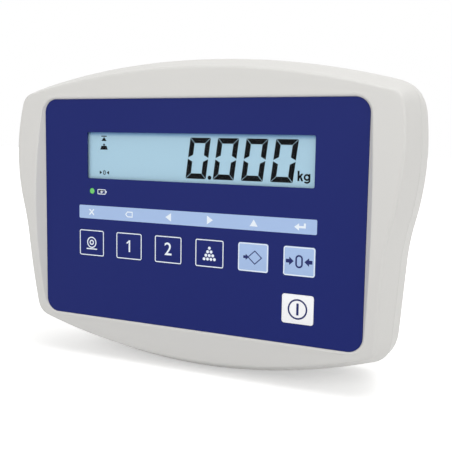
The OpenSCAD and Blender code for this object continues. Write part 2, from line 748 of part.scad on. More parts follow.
module switch_bodies() color([0.2, 0.2, 0.22]) face_frame() at(key_places) difference() {
    block(switch_w, switch_w, switch_top, switch_board_z);
    post(plunger_r + fit, switch_top - cut, plunger_end + key_travel + seat);
}

module board(w, h, z) block(w, h, z, z + board_t);
module switch_board() color([0.1, 0.4, 0.2]) face_frame() difference() {
    translate([0, (switch_board_high - switch_board_low) / 2, 0])
        board(switch_board_w, switch_board_high + switch_board_low, switch_board_z);
    at(switch_post_places)
        post(board_screw_r + 2 * fit, switch_board_z - cut, switch_board_z + board_t + cut);
}
module board_screw(z)
    screw(board_screw_r, board_screw_head_r, board_screw_head_h, z - board_screw_bite, z + board_t);
module switch_board_screws() color("silver") face_frame() at(switch_post_places) board_screw(switch_board_z);

module charge_led() color([0.4, 0.75, 0.4]) face_frame() translate([led_x, led_y, 0]) {
    post(led_r, lens_end + led_r + seat, switch_board_z);
    translate([0, 0, -lens_end - led_r - seat]) sphere(led_r);
    post(led_r + seat, switch_board_z - led_r / 2, switch_board_z);
}
module led_lens() color([0.4, 0.85, 0.4]) face_frame() translate([led_x, led_y, 0]) {
    post(lens_r - fit, 0, lens_end - seat);
}

// Display digits: six leaning strokes each, with mitred ends
function lean(points) = [for (p = points) [p[0] + p[1] * slant_share, p[1]]];
module stroke_flat(side) {
    o = digit_h / 2;
    e = digit_w / 2 - stroke_gap;
    polygon(lean([[-e, side * o], [e, side * o],
        [e - stroke, side * (o - stroke)], [-e + stroke, side * (o - stroke)]]));
}
module stroke_upright(sx, sy) {
    o = digit_w / 2;
    top = digit_h / 2 - stroke_gap;
    polygon(lean([[sx * o, sy * stroke_gap * 2], [sx * o, sy * top],
        [sx * (o - stroke), sy * (top - stroke)], [sx * (o - stroke), sy * (stroke_gap * 2 + stroke / 2)]]));
}
module lcd_digits() color([0.05, 0.05, 0.07]) face_frame()
    translate([0, 0, -glass_front]) linear_extrude(digit_t) {
    for (i = [0:3]) translate([digit_x + i * digit_pitch, window_y]) {
        for (s = [-1, 1]) stroke_flat(s);
        for (sx = [-1, 1], sy = [-1, 1]) stroke_upright(sx, sy);
    }
    translate([dot_x, dot_y]) circle(dot_r);
}
module lcd_glass() color([0.69, 0.78, 0.85]) face_frame() translate([window_x, window_y, 0])
    block(glass_w, glass_h, glass_front, glass_front + glass_t);
module lcd_backlight() color([0.95, 0.97, 1]) face_frame() translate([window_x, window_y, 0])
    block(window_w, window_h, glass_front + glass_t + seat, lcd_board_z);
module lcd_frame() color([0.9, 0.9, 0.88]) face_frame() translate([window_x, window_y, 0]) difference() {
    block(lcd_frame_w, lcd_frame_h, plate_back, lcd_board_z);
    block(lcd_frame_in_w, lcd_frame_in_h, plate_back - cut, lcd_board_z + cut);
}
module lcd_pins() color("gold") face_frame() translate([window_x, window_y, 0])
    for (s = [-1, 1], i = [0:pin_count - 1])
        translate([(i - (pin_count - 1) / 2) * pin_pitch, s * (glass_h / 2 + pin_r + fit), 0])
            post(pin_r, glass_front + glass_t / 2, lcd_board_z, $fn = 16);
module lcd_board() color([0.1, 0.4, 0.2]) face_frame() translate([window_x, window_y, 0]) difference() {
    board(lcd_board_w, lcd_board_h, lcd_board_z);
    at(lcd_post_places) post(board_screw_r + 2 * fit, lcd_board_z - cut, lcd_board_z + board_t + cut);
}
module lcd_board_screws() color("silver") face_frame() translate([window_x, window_y, 0])
    at(lcd_post_places) board_screw(lcd_board_z);

// Flat cable between the two boards, with a plug at each end
plug_w = 24;
plug_h = 5;
plug_t = 5;
ribbon_w = 20;
ribbon_t = 0.8;
ribbon_x = 8;
plug_drop = 8.8;
plug_low = switch_board_high - plug_drop;
plug_rise = 4;
plug_high = main_low + plug_rise;
switch_back = switch_board_z + board_t;
module ribbon_plugs() color([0.12, 0.12, 0.13]) face_frame() {
    translate([ribbon_x, plug_low, 0]) block(plug_w, plug_h, switch_back, switch_back + plug_t);
    translate([ribbon_x, plug_high, 0]) block(plug_w, plug_h, main_z - plug_t, main_z);
}
ribbon_start = plug_low + plug_h / 2;
ribbon_low_z = switch_back + plug_t / 2;
ribbon_high_z = main_z - plug_t;
ribbon_turn = 7;
ribbon_path = concat(
    [[ribbon_start, -ribbon_low_z]],
    [for (t = [0:15:90])
        [plug_high - ribbon_turn * (1 - sin(t)), -ribbon_low_z - ribbon_turn * (1 - cos(t))]],
    [[plug_high, -ribbon_high_z]]);
function strip_side(path, half_t) = [for (i = [0:len(path) - 1])
    let (a = path[max(0, i - 1)], b = path[min(len(path) - 1, i + 1)], d = (b - a) / norm(b - a))
    [path[i][0] - d[1] * half_t, path[i][1] + d[0] * half_t]];
module ribbon_cable() color([0.6, 0.6, 0.62]) face_frame() translate([ribbon_x - ribbon_w / 2, 0, 0])
    rotate([0, 90, 0]) rotate(90) linear_extrude(ribbon_w)
        polygon(concat(strip_side(ribbon_path, ribbon_t / 2),
            [for (i = [len(ribbon_path) - 1:-1:0]) strip_side(ribbon_path, -ribbon_t / 2)[i]]));

// Main board and what is soldered to it
module main_board() color([0.08, 0.35, 0.2]) face_frame() difference() {
    translate([(main_right - main_left) / 2, (main_high + main_low) / 2, 0])
        board(main_left + main_right, main_high - main_low, main_z);
    at(main_post_places) post(board_screw_r + 2 * fit, main_z - cut, main_back + cut);
}
module main_board_screws() color("silver") face_frame() at(main_post_places) mirror([0, 0, 1])
    translate([0, 0, 2 * main_z]) screw(board_screw_r, board_screw_head_r, board_screw_head_h,
        main_z - board_t - board_screw_bite, main_z);
chip_w = 14;
chip_t = 2.2;
chip_x = -20;
chip_drop = 1;
chip_y = bay_mid - chip_drop;
lead_len = 2;
lead_w = 0.6;
chip_leads = 6;
lead_pitch = 2;
module processor() color([0.12, 0.12, 0.13]) face_frame() translate([chip_x, chip_y, 0]) {
    block(chip_w, chip_w, main_z - chip_t, main_z - chip_t / 4);
    for (a = [0:90:270], i = [0:chip_leads - 1]) rotate(a)
        translate([(i - (chip_leads - 1) / 2) * lead_pitch, (chip_w + lead_len) / 2 - fit, 0])
            block(lead_w, lead_len, main_z - chip_t / 2, main_z);
}
can_w = 26;
can_h = 20;
can_t = 6;
can_x = 12;
can_rise = 2;
can_y = bay_mid + can_rise;
module converter_can() color([0.75, 0.76, 0.78]) face_frame() translate([can_x, can_y, 0]) difference() {
    block(can_w, can_h, main_z - can_t, main_z);
    block(can_w - 2 * thin, can_h - 2 * thin, main_z - can_t + thin, main_z + cut);
}
cap_r = 4;
cap_h = 11;
cap_x = -68;
cap_in = 6;
cap_y = main_high - cap_in;
cap_pitch = 10;
cap_count = 4;
module capacitors() color([0.1, 0.12, 0.3]) face_frame()
    for (i = [0:cap_count - 1]) translate([cap_x + i * cap_pitch, cap_y, 0]) difference() {
        post(cap_r, main_z - cap_h, main_z);
        for (a = [0, 90]) rotate(a) block(cap_r, thin / 2, main_z - cap_h - cut, main_z - cap_h + thin / 4);
    }
sink_w = 24;
sink_h = 12;
sink_t = 14;
sink_x = -54;
sink_rise = 7;
sink_y = bay_mid + sink_rise;
fin_t = 1.2;
fin_count = 5;
module heat_sink() color([0.7, 0.71, 0.72]) face_frame() translate([sink_x, sink_y, 0]) {
    translate([0, -sink_h / 2 + fin_t / 2, 0]) block(sink_w, fin_t, main_z - sink_t, main_z);
    for (i = [0:fin_count - 1]) translate([(i / (fin_count - 1) - 0.5) * (sink_w - fin_t), 0, 0])
        block(fin_t, sink_h, main_z - sink_t, main_z);
}
reg_w = 10;
reg_h = 4.4;
reg_t = 9;
reg_legs = 3;
reg_pitch = 2.54;
module regulator() color([0.12, 0.12, 0.13]) face_frame()
    translate([sink_x, sink_y - sink_h / 2 - reg_h / 2, 0]) {
        block(reg_w, reg_h, main_z - sink_t, main_z - sink_t + reg_t);
        for (i = [0:reg_legs - 1]) translate([(i - 1) * reg_pitch, 0, 0])
            block(thin, thin, main_z - sink_t + reg_t - thin, main_z);
    }
buzzer_r = 6;
buzzer_h = 9;
buzzer_x = 2;
buzzer_in = 7.5;
buzzer_y = main_high - buzzer_in;
module buzzer() color([0.08, 0.08, 0.08]) face_frame() translate([buzzer_x, buzzer_y, 0]) difference() {
    post(buzzer_r, main_z - buzzer_h, main_z);
    post(buzzer_r / 5, main_z - buzzer_h - cut, main_z - buzzer_h / 2);
}
fuse_r = 2.6;
fuse_len = 20;
fuse_x = -56;
fuse_in = 4;
fuse_y = main_low + fuse_in;
fuse_rise = 5;
fuse_z = main_z - fuse_rise;
clip_w = 5;
clip_t = 0.6;
module fuse() color([0.85, 0.9, 0.9, 0.6]) face_frame() translate([fuse_x - fuse_len / 2, fuse_y, -fuse_z])
    rotate([0, 90, 0]) cylinder(r = fuse_r, h = fuse_len);
module fuse_clips() color([0.8, 0.65, 0.3]) face_frame() for (s = [-1, 1])
    translate([fuse_x + s * (fuse_len - clip_w) / 2, fuse_y, 0]) difference() {
        block(clip_w, 2 * (fuse_r + clip_t + fit), fuse_z - fuse_r / 2, main_z);
        translate([-clip_w, 0, -fuse_z]) rotate([0, 90, 0]) cylinder(r = fuse_r + fit, h = 2 * clip_w);
        block(clip_w + 2 * cut, 2 * fuse_r - clip_t, fuse_z - 2 * fuse_r, fuse_z);
    }

// Connectors in the bay
module serial_connector() color([0.72, 0.72, 0.74]) face_frame()
    translate([serial_x, bay_mid, 0]) difference() {
    union() {
        block(serial_flange_w, serial_flange_h, bay_in - 2 * seat - thin, bay_in - fit);
        block(serial_top_w, serial_flange_h, main_back, bay_in - seat);
        translate([0, 0, -serial_end]) linear_extrude(serial_end - bay_in + seat) serial_outline(0);
    }
    translate([0, 0, -serial_end - cut])
        linear_extrude(serial_end - bay_floor + cut) serial_outline(thin / 2);
    at([for (s = [-1, 1]) [s * serial_screw_x, 0]]) post(screw_r + fit, main_back, bay_in + cut);
    for (p = serial_pin_places) translate([p[0], p[1], 0]) post(serial_pin_r, bay_in, bay_floor + cut);
}
serial_pin_r = 0.5;
serial_pitch = 2.77;
serial_row = 2.84;
serial_pin_places = concat(
    [for (i = [0:4]) [(i - 2) * serial_pitch, serial_row / 2]],
    [for (i = [0:3]) [(i - 1.5) * serial_pitch, -serial_row / 2]]);
module serial_pins() color("gold") face_frame() translate([serial_x, bay_mid, 0]) at(serial_pin_places)
    post(serial_pin_r - fit, bay_in + fit, serial_end - seat, $fn = 16);
module serial_standoffs() color("silver") face_frame() translate([serial_x, bay_mid, 0])
    for (s = [-1, 1]) translate([s * serial_screw_x, 0, 0]) difference() {
        union() {
            post(standoff_r, bay_floor, serial_end - seat, $fn = 6);
            post(screw_r, bay_in - 2 * thin, bay_floor + thin);
        }
        post(screw_r - 2 * fit, bay_floor + 2 * thin, serial_end + cut);
    }
module dc_jack() color([0.1, 0.1, 0.1]) face_frame() translate([jack_x, bay_mid, 0]) difference() {
    union() {
        block(jack_w, jack_w, main_back, bay_in - fit);
        post(jack_r, bay_in - thin, bay_floor + jack_out);
    }
    post(jack_bore, bay_in, bay_floor + jack_out + cut);
}
module dc_jack_pin() color("silver") face_frame() translate([jack_x, bay_mid, 0])
    post(jack_pin_r, bay_in, bay_floor + jack_pin_out);
gland_short = 0.6;
gland_end = back_z - gland_short;
gland_hex_t = 3.4;
gland_nut_t = 3.4;
module gland_body() color([0.13, 0.13, 0.14]) face_frame() translate([gland_x, bay_mid, 0]) difference() {
    union() {
        post(gland_hex, bay_floor, bay_floor + gland_hex_t, $fn = 6);
        post(gland_r, bay_in - gland_nut_t - thin, bay_floor + gland_hex_t + 2 * thin);
    }
    post(gland_bore / 2 + 2 * thin, bay_in - gland_nut_t - thin - cut,
        bay_floor + gland_hex_t + 2 * thin + cut);
}
module gland_cap() color([0.13, 0.13, 0.14]) face_frame() translate([gland_x, bay_mid, 0]) difference() {
    post(gland_hex - thin, bay_floor + gland_hex_t + seat, gland_end);
    post(gland_r + fit, bay_floor + gland_hex_t - cut, gland_end - 2 * thin);
    post(gland_bore / 2 + thin, gland_end - 3 * thin, gland_end + cut);
}
module gland_seal() color([0.2, 0.2, 0.2]) face_frame() translate([gland_x, bay_mid, 0]) difference() {
    post(gland_bore / 2 + 2 * thin - fit, bay_in, gland_end - 2 * thin - fit);
    post(gland_bore / 2, bay_in - cut, gland_end + cut);
}
module gland_nut() color([0.13, 0.13, 0.14]) face_frame() translate([gland_x, bay_mid, 0]) difference() {
    post(gland_hex, bay_in - gland_nut_t, bay_in - fit, $fn = 6);
    post(gland_r + fit, bay_in - gland_nut_t - cut, bay_in + cut);
}

// Battery, its tabs and leads, and the door
module battery() color([0.16, 0.16, 0.18]) face_frame()
    translate([0, battery_h / 2 - battery_low, 0]) block(battery_w, battery_h, battery_front, battery_back);
module battery_tabs() color([0.8, 0.65, 0.3]) face_frame() for (s = [-1, 1])
    translate([s * tab_x, battery_top + tab_h / 2, 0]) block(tab_w, tab_h, tab_z, tab_z + thin);
lead_r = 0.9;
lead_x = lead_notch_x;
lead_in = 5;
lead_y = main_low + lead_in;
notch_z = cell_front + 1.5 * lead_notch_d;
lead_space = 1.2;
lead_bend = 1.2;
lead_sides = 10;
lead_steps = 4;
function unit(v) = v / norm(v);
// Path with each of its corners rounded off
function soft_path(p) = concat([p[0]],
    [for (i = [1:len(p) - 2])
        let (a = p[i] + unit(p[i - 1] - p[i]) * lead_bend, b = p[i] + unit(p[i + 1] - p[i]) * lead_bend)
        for (k = [0:lead_steps]) bend(a, p[i], b, k / lead_steps)],
    [p[len(p) - 1]]);
module wire(p) {
    last = len(p) - 1;
    ring_stack([for (i = [0:last]) let (
        t = unit(p[min(i + 1, last)] - p[max(i - 1, 0)]), u = unit(cross(t, [1, 1, 1])), v = cross(t, u))
        [for (j = [0:lead_sides - 1]) let (turn = 360 * j / lead_sides)
            p[i] + lead_r * (u * cos(turn) + v * sin(turn))]], p[0], p[last]);
}
module battery_leads() color([0.7, 0.1, 0.1]) face_frame() for (s = [-1, 1]) wire(soft_path([
    [s * tab_x, battery_top + tab_h / 2, -tab_z - thin - fit],
    [s * tab_x, battery_top + tab_h / 2, -notch_z],
    [lead_x + s * lead_space, battery_top + tab_h / 2, -notch_z - s * lead_space],
    [lead_x + s * lead_space, lead_y, -notch_z - s * lead_space],
    [lead_x + s * lead_space, lead_y, -main_z]]));
module battery_cover() color([0.80, 0.795, 0.78]) face_frame() difference() {
    translate([0, cell_mid, 0]) slab(door_w, door_h, door_r, back_z - door_t, back_z);
    at(cover_places) post(screw_r + slack, back_z - door_t - cut, back_z + cut);
    at(cover_places) post(screw_head_r + fit, cover_seat, back_z + cut);
}
module cover_screws() color("silver") face_frame() at(cover_places)
    screw(screw_r, screw_head_r, screw_head_h / 2, cover_tip + fit, cover_seat);

module bracket_inserts() color([0.8, 0.65, 0.3]) face_frame() at(insert_places) difference() {
    post(insert_r, back_z - insert_len, back_z);
    post(insert_d / 2, back_z - insert_len - cut, back_z + cut);
}
module rubber_feet() color([0.1, 0.1, 0.1]) face_frame() for (p = foot_places)
    translate([p[0], -base_y - foot_t, -p[1]]) rotate([-90, 0, 0])
        cylinder(r = foot_d / 2, h = foot_t + foot_sink - fit);

front_shell();
rear_shell();
case_seal();
case_screws();
keypad_overlay();
display_window();
key_print();
key_function();
key_units();
key_count();
key_tare();
key_zero();
key_power();
plunger_print();
plunger_function();
plunger_units();
plunger_count();
plunger_tare();
plunger_zero();
plunger_power();
switch_bodies();
switch_board();
switch_board_screws();
charge_led();
led_lens();
lcd_digits();
lcd_glass();
lcd_backlight();
lcd_frame();
lcd_pins();
lcd_board();
lcd_board_screws();
ribbon_plugs();
ribbon_cable();
main_board();
main_board_screws();
processor();
converter_can();
capacitors();
heat_sink();
regulator();
buzzer();
fuse();
fuse_clips();
serial_connector();
serial_pins();
serial_standoffs();
dc_jack();
dc_jack_pin();
gland_body();
gland_cap();
gland_seal();
gland_nut();
battery();
battery_tabs();
battery_leads();
battery_cover();
cover_screws();
bracket_inserts();
rubber_feet();
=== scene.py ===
# Weighing indicator: a light grey two-part plastic case with a blue membrane panel, a segment
# display, seven keys, and behind them the boards, the battery and the connectors.
import math

import bmesh
import bpy
from mathutils import Matrix, Vector


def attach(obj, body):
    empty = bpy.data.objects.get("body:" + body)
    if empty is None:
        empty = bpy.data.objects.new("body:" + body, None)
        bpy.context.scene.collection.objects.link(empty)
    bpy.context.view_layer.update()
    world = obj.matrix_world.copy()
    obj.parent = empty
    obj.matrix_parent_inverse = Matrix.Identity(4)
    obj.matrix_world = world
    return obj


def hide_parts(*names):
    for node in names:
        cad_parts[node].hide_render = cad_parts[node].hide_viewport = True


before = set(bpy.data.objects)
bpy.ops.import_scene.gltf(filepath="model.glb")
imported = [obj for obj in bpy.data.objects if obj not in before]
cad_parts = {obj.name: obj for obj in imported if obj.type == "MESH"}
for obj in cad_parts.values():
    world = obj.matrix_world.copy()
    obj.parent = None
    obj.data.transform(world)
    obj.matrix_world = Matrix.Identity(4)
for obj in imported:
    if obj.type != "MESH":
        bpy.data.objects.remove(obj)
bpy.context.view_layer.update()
scene = bpy.context.scene
scene.view_settings.view_transform = "Standard"


# Studio: the camera stands a little right of the case, at the height of its upper half. The
# floor and the surroundings show white, with painted shade on the floor round the case, while
# soft lamps and a dim sky light the case.
camera_place = (0.2315, -0.44835, 0.1515)
looking = Vector((-0.4408, 0.8901, -0.1161)).normalized()
upward = Vector((-0.065, 0.0973, 0.9931))
to_right = looking.cross(upward).normalized()
upward = to_right.cross(looking)
camera_turn = Matrix((to_right, upward, -looking)).transposed().to_4x4()
camera = bpy.data.objects.new("camera", bpy.data.cameras.new("camera"))
camera.data.sensor_width = 36.0
camera.data.lens = 60.97
camera.matrix_world = Matrix.Translation(camera_place) @ camera_turn
scene.collection.objects.link(camera)
scene.camera = camera


def set_inputs(node, **values):
    """Sets inputs of a node by name, with a low line in the place of a space."""
    for name, value in values.items():
        node.inputs[name.replace("_", " ")].default_value = value


def new_node(nodes, kind, **values):
    node = nodes.new("ShaderNode" + kind)
    set_inputs(node, **values)
    return node


def math_node(nodes, operation):
    node = new_node(nodes, "Math")
    node.operation = operation
    return node


def seen_ray(nodes, links):
    """Value that is 1 for rays that show the background: straight, mirrored or through glass."""
    path = new_node(nodes, "LightPath")
    first, second = math_node(nodes, "MAXIMUM"), math_node(nodes, "MAXIMUM")
    links.new(path.outputs["Is Camera Ray"], first.inputs[0])
    links.new(path.outputs["Is Glossy Ray"], first.inputs[1])
    links.new(first.outputs[0], second.inputs[0])
    links.new(path.outputs["Is Transmission Ray"], second.inputs[1])
    return second.outputs[0]


world = bpy.data.worlds.new("studio")
world.use_nodes = True
scene.world = world
sky_nodes, sky_links = world.node_tree.nodes, world.node_tree.links
sky_nodes.clear()
sky_light = new_node(sky_nodes, "Background", Color=(1.0, 0.995, 0.985, 1.0), Strength=0.53)
sky_seen = new_node(sky_nodes, "Background", Color=(1.0, 1.0, 1.0, 1.0), Strength=1.0)
sky_mix = new_node(sky_nodes, "MixShader")
sky_out = new_node(sky_nodes, "OutputWorld")
sky_links.new(seen_ray(sky_nodes, sky_links), sky_mix.inputs["Fac"])
sky_links.new(sky_light.outputs[0], sky_mix.inputs[1])
sky_links.new(sky_seen.outputs[0], sky_mix.inputs[2])
sky_links.new(sky_mix.outputs[0], sky_out.inputs["Surface"])

paper = bpy.data.materials.new("floor_paper")
paper.use_nodes = True
paper_nodes, paper_links = paper.node_tree.nodes, paper.node_tree.links
paper_nodes.clear()
paper_diffuse = new_node(paper_nodes, "BsdfDiffuse", Color=(0.86, 0.86, 0.86, 1.0))
paper_glow = new_node(paper_nodes, "Emission")
paper_lift = math_node(paper_nodes, "MULTIPLY")
paper_place = new_node(paper_nodes, "TexCoord")
paper_reach = new_node(paper_nodes, "VectorMath")
paper_reach.operation = "LENGTH"
# The floor's camera-only glow grows with the distance from the case, from 0.43 near it to 0.76 far out. The
# floor is left darker round the case: painted shade that deepens the case's shadow there.
painted_shade_falloff = new_node(paper_nodes, "MapRange", From_Min=0.2, From_Max=0.8, To_Min=0.43, To_Max=0.76)
paper_links.new(paper_place.outputs["Object"], paper_reach.inputs[0])
paper_links.new(paper_reach.outputs["Value"], painted_shade_falloff.inputs["Value"])
paper_links.new(seen_ray(paper_nodes, paper_links), paper_lift.inputs[0])
paper_links.new(painted_shade_falloff.outputs["Result"], paper_lift.inputs[1])
paper_links.new(paper_lift.outputs[0], paper_glow.inputs["Strength"])
paper_sum = new_node(paper_nodes, "AddShader")
paper_out = new_node(paper_nodes, "OutputMaterial")
paper_links.new(paper_diffuse.outputs[0], paper_sum.inputs[0])
paper_links.new(paper_glow.outputs[0], paper_sum.inputs[1])
paper_links.new(paper_sum.outputs[0], paper_out.inputs["Surface"])

floor_shape = bmesh.new()
bmesh.ops.create_grid(floor_shape, x_segments=1, y_segments=1, size=6.0)
floor_mesh = bpy.data.meshes.new("floor")
floor_shape.to_mesh(floor_mesh)
floor_shape.free()
floor_mesh.materials.append(paper)
floor = bpy.data.objects.new("floor", floor_mesh)
scene.collection.objects.link(floor)


def lamp(name, place, aim, size, watts):
    """Square soft box at a place, turned towards a point."""
    data = bpy.data.lights.new(name, "AREA")
    data.shape = "SQUARE"
    data.size = size
    data.energy = watts
    body = bpy.data.objects.new(name, data)
    body.location = place
    body.rotation_euler = (Vector(aim) - Vector(place)).to_track_quat("-Z", "Y").to_euler()
    scene.collection.objects.link(body)


lamp("overhead_box", place=(0.3, -0.12, 1.3), aim=(0.0, 0.0, 0.1), size=1.1, watts=8.4)
lamp("front_box", place=(-0.25, -1.55, 0.2), aim=(0.0, 0.0, 0.1), size=1.6, watts=10.2)
lamp("side_box", place=(1.3, -0.1, 0.35), aim=(0.1, 0.0, 0.1), size=0.8, watts=2.0)


# Front case: the light grey moulding with a crowned face, a rounded edge and a slanted rim round
# the pocket that the panel lies in. One injection-moulded shell of textured plastic, 2.6 mm thick.
def linear(red, green, blue):
    """Colour of a plastic from the value that it shows on a screen."""
    return tuple((c / 255 / 12.92) if c < 11 else ((c / 255 + 0.055) / 1.055) ** 2.4
                 for c in (red, green, blue)) + (1.0,)


def add_sockets(group, way, kind, *names):
    for name in names:
        group.interface.new_socket(name, in_out=way, socket_type=kind)


def grain_group():
    """Moulded surface: a fine eroded grain, with slow changes of tone and of gloss."""
    group = bpy.data.node_groups.new("moulded_grain", "ShaderNodeTree")
    add_sockets(group, "INPUT", "NodeSocketColor", "Colour", "Shade")
    add_sockets(group, "INPUT", "NodeSocketFloat", "Grain Scale", "Tone Scale", "Roughness", "Gloss Change")
    add_sockets(group, "OUTPUT", "NodeSocketColor", "Colour")
    add_sockets(group, "OUTPUT", "NodeSocketFloat", "Roughness", "Height")
    nodes, links = group.nodes, group.links
    given, result = nodes.new("NodeGroupInput"), nodes.new("NodeGroupOutput")
    place = new_node(nodes, "TexCoord")
    fine, slow = new_node(nodes, "TexNoise", Detail=3.0), new_node(nodes, "TexNoise", Detail=4.0)
    links.new(place.outputs["Object"], fine.inputs["Vector"])
    links.new(place.outputs["Object"], slow.inputs["Vector"])
    links.new(given.outputs["Grain Scale"], fine.inputs["Scale"])
    links.new(given.outputs["Tone Scale"], slow.inputs["Scale"])
    blend = new_node(nodes, "Mix")
    blend.data_type = "RGBA"
    links.new(slow.outputs["Fac"], blend.inputs["Factor"])
    links.new(given.outputs["Colour"], blend.inputs["A"])
    links.new(given.outputs["Shade"], blend.inputs["B"])
    both = math_node(nodes, "ADD")
    links.new(fine.outputs["Fac"], both.inputs[0])
    links.new(slow.outputs["Fac"], both.inputs[1])
    centred = math_node(nodes, "SUBTRACT")
    centred.inputs[1].default_value = 1.0  # each noise averages one half
    links.new(both.outputs[0], centred.inputs[0])
    gloss = math_node(nodes, "MULTIPLY_ADD")
    links.new(centred.outputs[0], gloss.inputs[0])
    links.new(given.outputs["Gloss Change"], gloss.inputs[1])
    links.new(given.outputs["Roughness"], gloss.inputs[2])
    links.new(blend.outputs["Result"], result.inputs["Colour"])
    links.new(gloss.outputs[0], result.inputs["Roughness"])
    links.new(fine.outputs["Fac"], result.inputs["Height"])
    return group


moulded_grain = grain_group()


def add_relief(nodes, links, height, strength, depth):
    """Gives the shader a relief from a height that runs from 0 to 1, with its depth in metres."""
    bump = new_node(nodes, "Bump", Strength=strength, Distance=depth)
    links.new(height, bump.inputs["Height"])
    links.new(bump.outputs["Normal"], nodes["Principled BSDF"].inputs["Normal"])


def new_material(name):
    """Material, with its nodes, their links and its shader."""
    material = bpy.data.materials.new(name)
    material.use_nodes = True
    nodes, links = material.node_tree.nodes, material.node_tree.links
    return material, nodes, links, nodes["Principled BSDF"]


def moulded(name, colour, roughness=0.5, grain=1500.0, relief=0.02, depth=0.00002, shade=0.94,
            tone=14.0, gloss_change=0.12, **shader_values):
    """Plastic, rubber or ink with the moulded grain. shade is how dark the slow tones go."""
    material, nodes, links, shader = new_material(name)
    surface = new_node(nodes, "Group")
    surface.node_tree = moulded_grain
    dark = tuple(c * shade for c in colour[:3]) + (1.0,)
    set_inputs(surface, Colour=colour, Shade=dark, Grain_Scale=grain, Tone_Scale=tone,
               Roughness=roughness, Gloss_Change=gloss_change)
    links.new(surface.outputs["Colour"], shader.inputs["Base Color"])
    links.new(surface.outputs["Roughness"], shader.inputs["Roughness"])
    if relief:
        add_relief(nodes, links, surface.outputs["Height"], relief, depth)
    set_inputs(shader, **shader_values)
    return material


case_plastic = moulded("case_plastic", linear(214, 213, 210), roughness=0.45, grain=1400.0,
                       relief=0.35, depth=0.00004, shade=0.975)

# Turns millimetres on the panel, x right, y up and z out of it, into metres in the frame.
panel_front, panel_mid, mm = 0.03185, 0.102, 0.001
panel_face = Matrix(((mm, 0, 0, 0), (0, 0, -mm, -panel_front), (0, mm, 0, panel_mid), (0, 0, 0, 1)))
panel_w, panel_h, panel_corner, pocket_gap = 226.0, 145.3, 9.0, 0.2
film, plate_back, wall = 0.8, 3.4, 2.6
top_y, top_arch, base_y, base_arch = 92.9, 505.0, 94.9, 375.0
bulge_w, bulge_y, bulge_r, wave_y, waist_r, side_lean = 134.2, 44.0, 165.0, 2.0, 130.0, 0.075
top_corner, base_corner, edge_soft = 4.5, 6.5, 2.4
seam, flare, side_bow, side_from = 15.0, 4.4, 0.25, 100
crown_rise, crown_y, crown_arch = 6.3, 3.0, 471.0
rim_run, rim_slope, rim_least = 6.3, 0.67, 0.6
on_arch, on_corner, on_side = 26, 8, 44  # points on each stretch of an outline


def sag(x, radius):
    return radius - math.sqrt(radius * radius - x * x)


def mix(a, b, share):
    return a + (b - a) * share


def crown(y):
    """Height of the crowned face above the panel."""
    return crown_rise - (y - crown_y) ** 2 / (2 * crown_arch)


def half_width(y):
    """Half width of the face: a bulge above, a hollow waist, and straight lower sides."""
    wave_lean = (bulge_y - wave_y) / bulge_r
    waist_y = wave_y - (wave_lean - side_lean) * waist_r
    if y > wave_y:
        return bulge_w - (y - bulge_y) ** 2 / (2 * bulge_r)
    wave_w = bulge_w - (bulge_y - wave_y) * wave_lean / 2
    if y > waist_y:
        return wave_w + wave_lean * (y - wave_y) + (y - wave_y) ** 2 / (2 * waist_r)
    drop = waist_y - wave_y
    return wave_w + wave_lean * drop + drop ** 2 / (2 * waist_r) + side_lean * (y - waist_y)


def mirrored(half):
    """Closed loop from the right half, which runs from the top to the bottom."""
    return half + [(-x, y) for x, y in half[-2:0:-1]]


def case_loop(out, top_reach=top_corner, base_reach=base_corner, flat=0.0, flat_y=0.0):
    """Outline of the case let out by a distance, with a base that can be partly flat."""
    def curve(a, b, c, share):
        return tuple(mix(mix(a[i], b[i], share), mix(b[i], c[i], share), share) for i in (0, 1))
    ty = top_y + out - sag(bulge_w, top_arch)
    tx = half_width(ty) + out
    low = -base_y - out
    by = mix(low + sag(half_width(-panel_h / 2), base_arch), -flat_y, flat)
    bx = half_width(by) + out
    a = (tx - top_reach, top_y + out - sag(tx - top_reach, top_arch))
    b = (half_width(ty - top_reach) + out, ty - top_reach)
    c = (half_width(by + base_reach) + out, by + base_reach)
    d = (bx - base_reach, mix(low + sag(bx - base_reach, base_arch), -flat_y, flat))
    tops = [a[0] * i / on_arch for i in range(on_arch)]
    half = [(x, top_y + out - sag(x, top_arch)) for x in tops]
    half += [curve(a, (tx, ty), b, i / on_corner) for i in range(on_corner)]
    sides = [mix(b[1], c[1], i / on_side) for i in range(on_side)]
    half += [(half_width(y) + out, y) for y in sides]
    half += [curve(c, (bx, by), d, i / on_corner) for i in range(on_corner)]
    bases = [d[0] * (1 - i / on_arch) for i in range(on_arch + 1)]
    half += [(x, mix(low + sag(x, base_arch), -flat_y, flat)) for x in bases]
    return mirrored(half)


def panel_loop(out):
    """Outline of the panel let out by a distance, with as many points as the case's outline."""
    r = panel_corner + out
    cx, cy = panel_w / 2 - panel_corner, panel_h / 2 - panel_corner
    turns = [math.pi / 2 * i / on_corner for i in range(on_corner)]
    half = [(cx * i / on_arch, cy + r) for i in range(on_arch)]
    half += [(cx + r * math.sin(t), cy + r * math.cos(t)) for t in turns]
    half += [(cx + r, cy * (1 - 2 * i / on_side)) for i in range(on_side)]
    half += [(cx + r * math.cos(t), -cy - r * math.sin(t)) for t in turns]
    half += [(cx * (1 - i / on_arch), -cy - r) for i in range(on_arch + 1)]
    return mirrored(half)


def flat_at(loop, z):
    return [(x, y, z) for x, y in loop]


def crowned(loop, drop):
    return [(x, y, crown(y) - drop) for x, y in loop]


def rim_loop(out, down):
    """Slanted rim of the pocket, a distance outside it and below its top."""
    near, far = panel_loop(pocket_gap), panel_loop(pocket_gap + rim_run)
    points = []
    for (x, y), (fx, fy) in zip(near, far):
        z = max(crown(y), rim_least)
        share = (max(z - down, 0.0) * rim_slope + out) / rim_run
        px, py = mix(x, fx, share), mix(y, fy, share)
        points.append((px, py, z - down))
    return points


